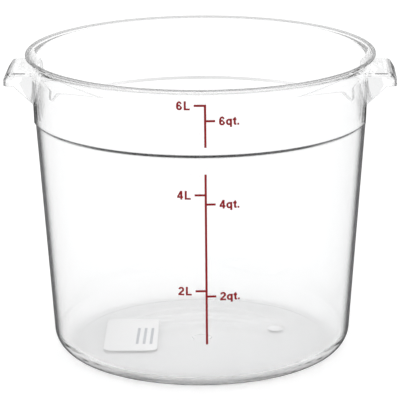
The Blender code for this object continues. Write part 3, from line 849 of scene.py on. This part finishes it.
LETTERS = {
    "6": figure_six,
    "4": figure_four,
    "2": figure_two,
    "L": letter_l,
    "q": letter_q,
    "t": letter_t,
    ".": full_stop,
}


# The printed scale on the wall


def scale_turn_at(size, ink, height):
    """How far round the scale's line lies at a height, as it leans a little."""
    rise = height - size.height * ink.pivot_share
    return ink.turn - math.tan(ink.lean) * rise / outer_radius(size, height)


def wrap_on_wall(item, size, ink):
    """Lay a flat print on the outer wall: X runs round it, Z up it and -Y out of it."""
    for vertex in item.data.vertices:
        across, inward, height = vertex.co
        wall = outer_radius(size, height)
        angle = scale_turn_at(size, ink, height) + across / wall
        radius = wall + ink.lift - inward
        vertex.co = (radius * math.sin(angle), -radius * math.cos(angle), height)
    only(item)
    bpy.ops.object.mode_set(mode="EDIT")
    turn_faces_out()


def print_slab(name, outline, holes, ink):
    """A flat piece of ink in the X and Z plane, cut level so that it can be bent."""
    places = [Vector((across, 0.0, up)) for across, up in outline]
    item = slab(name, places, Vector((0.0, -ink.thickness, 0.0)))
    for loop in holes:
        places = [Vector((across, ink.thickness, up)) for across, up in loop]
        hole = slab("hole", places, Vector((0.0, -ink.thickness * 3, 0.0)))
        apply_boolean(item, hole, "DIFFERENCE")
    low = min(up for across, up in outline)
    high = max(up for across, up in outline)
    only(item)
    bpy.ops.object.mode_set(mode="EDIT")
    for index in range(1, math.ceil((high - low) / ink.slice)):
        bpy.ops.mesh.select_all(action="SELECT")
        level = (0.0, 0.0, low + ink.slice * index)
        bpy.ops.mesh.bisect(plane_co=level, plane_no=(0.0, 0.0, 1.0))
    bpy.ops.object.mode_set(mode="OBJECT")
    return item


def mark_height(node):
    """Height of a graduation, from the node of its figure."""
    low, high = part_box(node)
    return (low.z + high.z) / 2


def up_side(bottom, top, ticks, reach, ink):
    """One side of a vertical line, upwards, stepping out round each tick."""
    half_line = ink.line_width / 2
    half_tick = ink.tick / 2
    corners = [(half_line, bottom)]
    for height in sorted(ticks):
        corners.append((half_line, height - half_tick))
        corners.append((reach, height - half_tick))
        corners.append((reach, height + half_tick))
        if top - height > ink.tick:
            corners.append((half_line, height + half_tick))
    if top - corners[-1][1] > half_tick:
        corners.append((half_line, top))
    return corners


def make_line(name, bottom, top, figures, size, ink):
    """A vertical line with its litre ticks on the left and its quart ticks on the right."""
    litres = [mark_height(LITRE_NODES[figure] + figure) for figure in figures]
    quarts = [mark_height(QUART_NODES[figure] + figure) for figure in figures]
    right = up_side(bottom, top, quarts, ink.right_tick, ink)
    left = up_side(bottom, top, litres, ink.left_tick, ink)
    outline = right + [(-across, up) for across, up in reversed(left)]
    line = print_slab(name, outline, [], ink)
    wrap_on_wall(line, size, ink)
    return line


def make_words(name, ending, gap, nodes, reads_right):
    """The three words on one side of the line, joined as one piece with its finish."""
    size, ink, face = props().tub, props().ink, props().type
    masters = {}
    for letter in ending + "642":
        outline, holes = LETTERS[letter](face)
        masters[letter] = print_slab("letter", outline, holes, ink)
    pieces = []
    for figure, node in nodes.items():
        word = figure + ending
        widths = [masters[letter].dimensions.x for letter in word]
        across = ink.right_tick + ink.word_gap
        if not reads_right:
            across = -ink.left_tick - ink.word_gap - sum(widths) - gap * (len(word) - 1)
        foot = mark_height(node + figure) - face.height / 2
        for letter, width in zip(word, widths):
            piece = copy_of(masters[letter], name)
            piece.data.transform(Matrix.Translation((across, 0.0, foot)))
            wrap_on_wall(piece, size, ink)
            pieces.append(piece)
            across += width + gap
    for master in masters.values():
        bpy.data.objects.remove(master)
    only(pieces[0])
    for piece in pieces:
        piece.select_set(True)
    bpy.ops.object.join()
    pieces[0].name = name
    replaced = [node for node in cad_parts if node.startswith(tuple(nodes.values()))]
    finish_piece(pieces[0], red_ink(props().finish), replaced)


# Nodes


def join_up(tree, source, socket):
    """Link a field or an output to a socket, or set the socket to a plain value."""
    source = getattr(source, "socket", source)
    if isinstance(source, bpy.types.NodeSocket):
        tree.links.new(source, socket)
    else:
        socket.default_value = source


def set_inputs(tree, node, values):
    """Set or join up a node's inputs by name or by number."""
    for name, value in values.items():
        join_up(tree, value, node.inputs[name])


def add_node(tree, kind, values, **settings):
    """A shader node with its settings and its inputs."""
    node = tree.nodes.new("ShaderNode" + kind)
    for name, setting in settings.items():
        setattr(node, name, setting)
    set_inputs(tree, node, values)
    return node


def by_node(operation):
    """A method of Field that one Math node carries out."""
    return lambda field, *others: field.combine(operation, *others)


class Field:
    """A value that nodes work out at each point, written as plain sums."""

    def __init__(self, tree, socket):
        self.tree = tree
        self.socket = socket

    def combine(self, operation, *others):
        """One Math node on this value and the others."""
        values = dict(enumerate((self, *others)))
        node = add_node(self.tree, "Math", values, operation=operation)
        return Field(self.tree, node.outputs["Value"])

    __add__ = by_node("ADD")
    __sub__ = by_node("SUBTRACT")
    __mul__ = by_node("MULTIPLY")
    __truediv__ = by_node("DIVIDE")
    __lt__ = by_node("LESS_THAN")
    __gt__ = by_node("GREATER_THAN")
    __abs__ = by_node("ABSOLUTE")
    nearest = by_node("ROUND")
    root = by_node("SQRT")
    most = by_node("MAXIMUM")
    least = by_node("MINIMUM")

    def soft_step(self, start, end):
        """Nought before the start and one past the end."""
        values = {"Value": self, "From Min": start, "From Max": end}
        node = add_node(self.tree, "MapRange", values, interpolation_type="SMOOTHSTEP")
        return Field(self.tree, node.outputs["Result"])


def axes(tree, vector):
    """The three parts of a vector."""
    split = add_node(tree, "SeparateXYZ", {"Vector": vector})
    return [Field(tree, split.outputs[axis]) for axis in "XYZ"]


def light_path(tree, output):
    return Field(tree, add_node(tree, "LightPath", {}).outputs[output])


def grey(value):
    return (value, value, value)


def mix_colours(tree, factor, first, second):
    """Two colours mixed by a factor between nought and one."""
    # A Mix node's colour sockets share their names with its other sockets, so they go by number
    values = {0: factor}
    for index, colour in ((6, first), (7, second)):
        is_socket = isinstance(colour, bpy.types.NodeSocket)
        values[index] = colour if is_socket else (*colour, 1.0)
    return add_node(tree, "Mix", values, data_type="RGBA").outputs[2]


def new_material(name):
    material = bpy.data.materials.new(name)
    material.use_nodes = True
    tree = material.node_tree
    place = tree.nodes.new("ShaderNodeTexCoord").outputs["Object"]
    return material, tree, tree.nodes["Principled BSDF"], place


def new_group(name, inputs):
    """A node group that reads a place and some numbers, and puts out one mask."""
    tree = bpy.data.node_groups.new(name, "ShaderNodeTree")
    tree.interface.new_socket("Place", in_out="INPUT", socket_type="NodeSocketVector")
    for socket in inputs:
        tree.interface.new_socket(socket, in_out="INPUT", socket_type="NodeSocketFloat")
    tree.interface.new_socket("Mask", in_out="OUTPUT", socket_type="NodeSocketFloat")
    start = tree.nodes.new("NodeGroupInput").outputs
    given = {socket: Field(tree, start[socket]) for socket in ("Place", *inputs)}
    return tree, given, tree.nodes.new("NodeGroupOutput").inputs["Mask"]


def speckle_group():
    """Fine uneven spots: dense or thin ink, paper fibre, ripples in moulded plastic."""
    tree, given, mask = new_group("speckle", ("Scale", "Stretch", "Low", "High"))
    squeeze = add_node(tree, "CombineXYZ", {"X": 1.0, "Y": 1.0, "Z": given["Stretch"]})
    squeezed = {0: given["Place"], 1: squeeze.outputs["Vector"]}
    place = add_node(tree, "VectorMath", squeezed, operation="MULTIPLY").outputs["Vector"]
    spots = {"Vector": place, "Scale": given["Scale"], "Detail": NOISE_DETAIL}
    noise = add_node(tree, "TexNoise", spots).outputs["Fac"]
    spread = {"Value": noise, "From Min": given["Low"], "From Max": given["High"]}
    join_up(tree, add_node(tree, "MapRange", spread).outputs["Result"], mask)
    return tree


def ruled_group():
    """Write-on lines, spaced along X and stopped along Y."""
    inputs = ("Middle", "Step", "Half Width", "Half Length")
    tree, given, mask = new_group("ruled", inputs)
    x, y = axes(tree, given["Place"])[:2]
    steps = (x - given["Middle"]) / given["Step"]
    off_line = abs(steps - steps.nearest()) * given["Step"]
    lines = (off_line < given["Half Width"]) * (abs(steps) < RULED_LINES / 2)
    join_up(tree, lines * (abs(y) < given["Half Length"]), mask)
    return tree


def shared_mask(tree, name, build, values):
    """The mask of a node group that is built once and used by every material."""
    group = bpy.data.node_groups.get(name) or build()
    return Field(tree, add_node(tree, "Group", values, node_tree=group).outputs["Mask"])


def speckle(tree, place, values):
    return shared_mask(tree, "speckle", speckle_group, {"Place": place, **values})


def bump(tree, shader, height, distance, strength):
    values = {"Height": height, "Distance": distance, "Strength": strength}
    join_up(tree, add_node(tree, "Bump", values).outputs["Normal"], shader.inputs["Normal"])


# Finishes

NOISE_DETAIL = 3.0
STREAKS = {"Scale": 14.0, "Stretch": 0.25, "Low": 0.40, "High": 0.75}
RIPPLES = {"Scale": 22.0, "Stretch": 0.35, "Low": 0.0, "High": 1.0}
INK_SPOTS = {"Scale": 1400.0, "Stretch": 1.0, "Low": 0.45, "High": 0.70}
PAPER_FIBRES = {"Scale": 900.0, "Stretch": 1.0, "Low": 0.50, "High": 0.75}
RULED_LINES = 3

# Where painted shade darkens the plastic by how it is met, from nought, head on, to one, along
# its face
WALL_GRAZED = (0.68, 0.83)
RIM_GRAZED = (0.50, 0.70)
BAY_GRAZED = (0.76, 0.90)
# How dark the painted shade then is, as a share
HANDLE_SHADE = 0.9
RIM_SIDE_SHADE = 0.22
RIM_TOP_SHADE = 0.66
INNER_RIM_SHADE = 0.62
BAY_SHADE = 0.6
FOOT_SHADE = 0.72
# Distances in from an edge at which a painted shade starts and at which it is full
RIM_RING = (0.0023, 0.0017)
RIM_TOP = (0.0010, 0.0006)
INNER_RING = (0.0006, 0.0022)
INNER_TOP = (0.0012, 0.0006)
PLATE_SIDE = (0.0010, 0.0002)
PLATE_TOP = (0.0012, 0.0004)
# The foot's painted shade starts this far below the top of its rounding, and is full at this
# height
FOOT_TOP = 0.0010
FOOT_END = 0.0030
# How far a handle's face may turn outwards and still count as its front or its back
OUTWARD_TURN = (0.80, 0.97)
# A cone between the foot's inner and outer roundings: how far in from the wall it starts, as a
# share of the outer rounding, and how much it widens with height
FOOT_CONE_INSET = 0.8
FOOT_CONE_SLOPE = 0.8
# The ledge's painted dark line under and over the top of its slope: its change per slope's
# height, and its strength there
BELOW_LEDGE = (0.6, 1.0)
ABOVE_LEDGE = (-3.0, 1.6)
# How far outside the ledge's foot the plain wall of a bay may lie
BAY_FLARE = 0.0030


def facing(tree):
    """Nought where a face is met head on and one along it."""
    return Field(tree, add_node(tree, "LayerWeight", {"Blend": 0.5}).outputs["Facing"])


def inwards(edge, distances):
    """Where a soft step starts and ends, by its distances in from an edge."""
    return [edge - distance for distance in distances]


def painted_handle_shade(tree, place, size, handle):
    """Painted shade on a handle's outer wall and its plate's edge, where they are seen through
    their depth.
    """
    x, y, height = axes(tree, place)
    reach = abs(x)
    top = size.height - handle.drop
    rise = (height - (top - handle.slope_height)).most(0.0)
    outline = rise * (handle.slope_width / handle.slope_height) + reach
    outer = outline.soft_step(handle.reach - handle.wall, handle.reach - handle.wall / 2)
    normal = tree.nodes.new("ShaderNodeTexCoord").outputs["Normal"]
    outward = abs(axes(tree, normal)[0])
    edge = outer - outer * outward.soft_step(*OUTWARD_TURN)
    by_side = abs(y).soft_step(*inwards(handle.half_width, PLATE_SIDE))
    by_top = height.soft_step(*inwards(top, PLATE_TOP))
    plate = by_side * by_top * (reach > band_top_radius(size) + size.lip_edge)
    return edge.most(plate) * HANDLE_SHADE


def painted_wall_shade(tree, radius, height, size):
    """Painted shade where the wall is seen along its face."""
    on_tub = radius < size.rim_radius + size.lip_round
    on_wall = height < band_top_height(size)
    return on_tub * on_wall * facing(tree).soft_step(*WALL_GRAZED)


def painted_rim_line(tree, radius, height, size):
    """Painted dark line on the rim's outer edge, darker where it is seen along its top."""
    outside = radius.soft_step(*inwards(size.rim_radius, RIM_RING))
    on_tub = radius < size.rim_radius + size.lip_round
    near_top = height.soft_step(*inwards(size.height, RIM_TOP))
    shade = facing(tree).soft_step(*RIM_GRAZED) * RIM_TOP_SHADE + RIM_SIDE_SHADE
    return outside * on_tub * near_top * shade


def painted_inner_rim_line(radius, height, size):
    """Painted dark line on the rim's inner edge, just under its top."""
    inside = radius.soft_step(*inwards(size.rim_radius, INNER_RING))
    near_top = height.soft_step(*inwards(size.height, INNER_TOP))
    return inside * near_top * INNER_RIM_SHADE


def painted_foot_shade(radius, height, size):
    """Painted shade on the outside of the wall's rounded foot, where the plastic is thick."""
    low = height.soft_step(size.base_round - FOOT_TOP, FOOT_END)
    start = lower_wall_radius(size, 0.0) - size.base_round * FOOT_CONE_INSET
    return low * (radius > height * FOOT_CONE_SLOPE + start) * FOOT_SHADE


def painted_bay_shade(tree, place, radius, size):
    """Painted shade on the plain wall behind a handle, where any ray runs along it."""
    x, y, height = axes(tree, place)
    in_bay = (abs(x) > size.rim_radius - size.bay_half_width) * (abs(y) < size.bay_half_width)
    above = height > ledge_height(size)
    on_wall = radius < under_ledge_radius(size) + BAY_FLARE
    return in_bay * above * on_wall * facing(tree).soft_step(*BAY_GRAZED) * BAY_SHADE


def painted_ledge_mask(radius, height, size):
    """Painted dark line on the ledge's face, where the thick step bends the light away."""
    over = (height - (ledge_height(size) + size.ledge_slope)) / size.ledge_slope
    below, above = (over * fall + start for fall, start in (BELOW_LEDGE, ABOVE_LEDGE))
    outer = radius > under_ledge_radius(size) - size.ledge_round
    return below.least(above).least(1.0).most(0.0) * outer


def clear_plastic(finish, size, handle):
    """Polished clear plastic with long, faint moulding ripples and flow streaks, its colour
    darkened with painted shade along grazed faces and edges and with a painted dark line on the
    ledge.
    """
    material, tree, shader, place = new_material("polished_plastic")
    x, y, height = axes(tree, place)
    radius = (x * x + y * y).root()
    # Painted shade: the base colour darkens on grazed walls, the rim's edges, the handles'
    # edges, the foot and the bays, and on a painted dark line at the ledge; all but the bays
    # only for rays from the camera
    painted_shade = painted_wall_shade(tree, radius, height, size)
    painted_shade = painted_shade.most(painted_handle_shade(tree, place, size, handle))
    painted_shade = painted_shade.most(painted_rim_line(tree, radius, height, size))
    painted_shade = painted_shade.most(painted_inner_rim_line(radius, height, size))
    painted_shade = painted_shade.most(painted_foot_shade(radius, height, size))
    seen_first = light_path(tree, "Is Camera Ray")
    dark = (seen_first * painted_shade).most(painted_bay_shade(tree, place, radius, size))
    painted_ledge_line = seen_first * painted_ledge_mask(radius, height, size)
    streaks = speckle(tree, place, STREAKS)
    tint = mix_colours(tree, streaks, finish.plastic_tint, finish.plastic_tint_deep)
    edged = mix_colours(tree, dark, tint, finish.painted_edge_colour)
    values = {
        "Base Color": mix_colours(tree, painted_ledge_line, edged, finish.painted_ledge_colour),
        "Metallic": 0.0,
        "Roughness": 0.0,
        "IOR": finish.plastic_ior,
        "Transmission Weight": 1.0,
    }
    set_inputs(tree, shader, values)
    bump(tree, shader, speckle(tree, place, RIPPLES), finish.plastic_ripple, 1.0)
    return material


def red_ink(finish):
    """Dried red ink, a little thinner in spots and slightly uneven."""
    found = bpy.data.materials.get("dried_red_ink")
    if found:
        return found
    material, tree, shader, place = new_material("dried_red_ink")
    thin = speckle(tree, place, INK_SPOTS)
    values = {
        "Base Color": mix_colours(tree, thin, finish.ink_colour, finish.ink_thin),
        "Roughness": thin * finish.ink_unevenness + finish.ink_roughness,
        "Specular IOR Level": finish.ink_specular,
    }
    set_inputs(tree, shader, values)
    bump(tree, shader, thin, finish.ink_depth, finish.ink_relief)
    return material


def white_paper(name, finish, ruled):
    """Coated white paper with fine fibres, and pale write-on lines where it is ruled."""
    material, tree, shader, place = new_material(name)
    fibre = speckle(tree, place, PAPER_FIBRES)
    base = mix_colours(tree, fibre, finish.paper_colour, finish.paper_fibre)
    if ruled:
        lines = {
            "Place": place,
            "Middle": LABEL_HIGH.x - finish.rule_inset,
            "Step": finish.rule_step,
            "Half Width": finish.rule_width / 2,
            "Half Length": finish.rule_length / 2,
        }
        on_line = shared_mask(tree, "ruled", ruled_group, lines)
        base = mix_colours(tree, on_line, base, finish.rule_colour)
    values = {
        "Base Color": base,
        "Roughness": finish.paper_roughness,
        "Specular IOR Level": finish.paper_specular,
    }
    set_inputs(tree, shader, values)
    bump(tree, shader, fibre, finish.paper_depth, finish.paper_relief)
    return material


# Stage

# A count of faces passed or mirrors met: past this one there is at least one
ANY = 0.5
# A count of faces passed: under this there are only the two of the first wall
FIRST_WALL = 2.5
# Height of the sky as the sine of its angle, and its light as seen through the plastic
SKY_STEPS = (
    (0.0, 1.0),
    (0.26, 1.0),
    (0.29, 0.03),
    (0.385, 0.03),
    (0.43, 0.75),
    (0.75, 0.85),
    (0.90, 1.0),
)


def ground_in_mirrors(tree, stage):
    """How dark the ground is in the first wall's mirrors, on its face and inside it."""
    mirrored = light_path(tree, "Glossy Depth") > ANY
    straight_on = light_path(tree, "Diffuse Depth") < ANY
    passed = light_path(tree, "Transmission Depth")
    inside = (passed < FIRST_WALL) * (1.0 - stage.inner_side)
    outside = (passed < ANY) * (stage.inner_side - stage.dark_side)
    return mirrored * straight_on * (inside + outside)


def make_ground(stage, finish):
    bpy.ops.mesh.primitive_plane_add(
        size=stage.ground_size, location=(0.0, 0.0, -stage.ground_drop)
    )
    ground = bpy.context.active_object
    ground.name = "ground"
    material, tree, shader = new_material("pale_ground")[:3]
    dark = ground_in_mirrors(tree, stage)
    seen = light_path(tree, "Is Camera Ray").most(light_path(tree, "Is Glossy Ray"))
    seen = seen.most(light_path(tree, "Is Transmission Ray"))
    values = {
        "Base Color": mix_colours(tree, dark, finish.floor_colour, grey(0.0)),
        "Roughness": finish.floor_roughness,
        "Specular IOR Level": 0.0,
        "Emission Color": (1.0, 1.0, 1.0, 1.0),
        "Emission Strength": (seen - dark) * stage.ground_lift,
    }
    set_inputs(tree, shader, values)
    ground.data.materials.append(material)


def sky_ramp(tree, height, steps):
    """Grey light by the height of the sky, from the horizon to straight up."""
    ramp = add_node(tree, "ValToRGB", {"Fac": height})
    ramp.color_ramp.interpolation = "LINEAR"
    while len(ramp.color_ramp.elements) < len(steps):
        ramp.color_ramp.elements.new(0.5)
    for element, (place, value) in zip(ramp.color_ramp.elements, steps):
        element.position = place
        element.color = (*grey(value), 1.0)
    return ramp.outputs["Color"]


def make_world(stage):
    """White where it is seen, with a narrow dark strip that only clear plastic picks up."""
    world = bpy.data.worlds.new("studio")
    bpy.context.scene.world = world
    world.use_nodes = True
    tree = world.node_tree
    direction = tree.nodes.new("ShaderNodeTexCoord").outputs["Generated"]
    near = sky_ramp(tree, axes(tree, direction)[2], SKY_STEPS)
    one_wall = light_path(tree, "Transmission Depth") < FIRST_WALL
    through = mix_colours(tree, one_wall, grey(stage.two_walls), near)
    mirrored = light_path(tree, "Glossy Depth") > ANY
    clear = mix_colours(tree, mirrored, through, grey(stage.mirrored))
    sharp = light_path(tree, "Is Glossy Ray").most(light_path(tree, "Is Transmission Ray"))
    by_plastic = sharp * (light_path(tree, "Diffuse Depth") < ANY)
    dull = mix_colours(tree, sharp, grey(stage.fill), grey(stage.inner_fill))
    lit = mix_colours(tree, by_plastic, dull, clear)
    seen = mix_colours(tree, light_path(tree, "Is Camera Ray"), lit, grey(1.0))
    set_inputs(tree, tree.nodes["Background"], {"Color": seen, "Strength": 1.0})


def follow_light(stage):
    """Let light pass the many faces of the clear walls before it is given up."""
    cycles = bpy.context.scene.cycles
    for kind in ("max_bounces", "transmission_bounces", "glossy_bounces"):
        setattr(cycles, kind, stage.light_passes)


def make_camera(stage):
    place = Vector(stage.camera_place)
    aim = Vector(stage.camera_aim) - place
    bpy.ops.object.camera_add(location=place)
    camera = bpy.context.active_object
    camera.name = "camera"
    look = aim.to_track_quat("-Z", "Y").to_matrix()
    roll = Matrix.Rotation(stage.camera_roll, 3, "Z")
    camera.rotation_euler = (look @ roll).to_euler()
    camera.data.sensor_width = stage.sensor_width
    camera.data.lens = stage.focal_length
    camera.data.clip_end = stage.ground_size
    bpy.context.scene.camera = camera


# Operators


class STORAGETUB_OT_tub(bpy.types.Operator):
    """Turn the tub, cut the bays, model both handles and join them"""

    bl_idname = "storagetub.tub"
    bl_label = "Tub and Handles"

    def execute(self, context):
        size, handle = props().tub, props().handle
        points = inside_points(size) + lip_points(size) + outside_points(size)
        tub = lathe("clear_tub", points, size.turn_steps)
        half_turn = Matrix.Rotation(math.radians(180.0), 4, "Z")
        for make, operation in ((make_bay, "DIFFERENCE"), (make_handle, "UNION")):
            piece = make(size, handle)
            other = copy_of(piece, "other_" + piece.name)
            other.data.transform(half_turn)
            apply_boolean(tub, piece, operation)
            apply_boolean(tub, other, operation)
        only(tub)
        bpy.ops.object.shade_smooth_by_angle(angle=SMOOTH_FOLD)
        finish_piece(tub, clear_plastic(props().finish, size, handle), ["tub"])
        return {"FINISHED"}


class STORAGETUB_OT_lines(bpy.types.Operator):
    """Print the two vertical lines with their ticks"""

    bl_idname = "storagetub.lines"
    bl_label = "Scale Lines"

    def execute(self, context):
        size, ink = props().tub, props().ink
        for place, figures in (("upper", "6"), ("lower", "42")):
            node = "scale_line_" + place
            low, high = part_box(node)
            line = make_line(place + "_line", low.z, high.z, figures, size, ink)
            finish_piece(line, red_ink(props().finish), [node])
        return {"FINISHED"}


class STORAGETUB_OT_litres(bpy.types.Operator):
    """Print the three litre marks to the left of the line"""

    bl_idname = "storagetub.litres"
    bl_label = "Litre Marks"

    def execute(self, context):
        make_words("litre_marks", "L", props().ink.litre_gap, LITRE_NODES, False)
        return {"FINISHED"}


class STORAGETUB_OT_quarts(bpy.types.Operator):
    """Print the three quart marks to the right of the line"""

    bl_idname = "storagetub.quarts"
    bl_label = "Quart Marks"

    def execute(self, context):
        make_words("quart_marks", "qt.", props().ink.quart_gap, QUART_NODES, True)
        return {"FINISHED"}


class STORAGETUB_OT_label(bpy.types.Operator):
    """Lay the ruled paper label on the floor of the tub"""

    bl_idname = "storagetub.label"
    bl_label = "Base Label"

    def execute(self, context):
        paper = props().paper
        middle = (LABEL_LOW + LABEL_HIGH) / 2
        level = floor_level(props().tub) + paper.gap
        half_width = paper.width / 2 - paper.corner
        half_length = paper.length / 2 - paper.corner
        radii = (paper.corner, paper.corner)
        outline = []
        for start, across, along in ((0, 1, 1), (90, -1, 1), (180, -1, -1), (270, 1, -1)):
            centre = (across * half_width, along * half_length)
            outline += arc(centre, radii, start, start + 90.0, paper.corner_steps)
        places = [Vector((x, y, 0.0)) for x, y in outline]
        label = slab("paper_label", places, Vector((0.0, 0.0, paper.thickness)))
        label.location = (middle.x, middle.y, level)
        label.rotation_euler = (0.0, 0.0, paper.turn)
        apply_place(label)
        paper_finish = white_paper("label_paper", props().finish, True)
        finish_piece(label, paper_finish, ["base_label"])
        return {"FINISHED"}


class STORAGETUB_OT_sticker(bpy.types.Operator):
    """Lay the round sticker on the floor of the tub"""

    bl_idname = "storagetub.sticker"
    bl_label = "Round Sticker"

    def execute(self, context):
        paper = props().paper
        middle = (STICKER_LOW + STICKER_HIGH) / 2
        level = floor_level(props().tub) + paper.gap + paper.thickness / 2
        deselect_all()
        bpy.ops.mesh.primitive_cylinder_add(
            vertices=paper.sticker_sides,
            radius=paper.sticker_radius,
            depth=paper.thickness,
            location=(middle.x, middle.y, level),
        )
        sticker = placed("paper_dot")
        paper_finish = white_paper("dot_paper", props().finish, False)
        finish_piece(sticker, paper_finish, ["round_sticker"])
        return {"FINISHED"}


class STORAGETUB_OT_stage(bpy.types.Operator):
    """Make the ground, the surroundings and the camera"""

    bl_idname = "storagetub.stage"
    bl_label = "Stage and Camera"

    def execute(self, context):
        stage = props().stage
        make_ground(stage, props().finish)
        make_world(stage)
        make_camera(stage)
        bpy.context.scene.view_settings.view_transform = "Standard"
        follow_light(stage)
        return {"FINISHED"}


STEPS = (
    STORAGETUB_OT_tub,
    STORAGETUB_OT_lines,
    STORAGETUB_OT_litres,
    STORAGETUB_OT_quarts,
    STORAGETUB_OT_label,
    STORAGETUB_OT_sticker,
    STORAGETUB_OT_stage,
)


class STORAGETUB_PT_steps(bpy.types.Panel):
    """The steps that build the tub, in order"""

    bl_idname = "STORAGETUB_PT_steps"
    bl_label = "Clear Round Storage Tub"
    bl_space_type = "VIEW_3D"
    bl_region_type = "UI"
    bl_category = "Tub"

    def draw(self, context):
        for step in STEPS:
            self.layout.operator(step.bl_idname)


GROUPS = (
    TubSizes,
    HandleSizes,
    PrintSizes,
    TypeSizes,
    PaperSizes,
    Finishes,
    StageSettings,
    TubSettings,
)


def register():
    for entry in (*GROUPS, *STEPS, STORAGETUB_PT_steps):
        bpy.utils.register_class(entry)
    bpy.types.Scene.storage_tub = PointerProperty(type=TubSettings)


def unregister():
    del bpy.types.Scene.storage_tub
    for entry in (STORAGETUB_PT_steps, *reversed(STEPS), *reversed(GROUPS)):
        bpy.utils.unregister_class(entry)


def main():
    register()
    bpy.ops.storagetub.tub()
    bpy.ops.storagetub.lines()
    bpy.ops.storagetub.litres()
    bpy.ops.storagetub.quarts()
    bpy.ops.storagetub.label()
    bpy.ops.storagetub.sticker()
    bpy.ops.storagetub.stage()


if __name__ == "__main__":
    main()
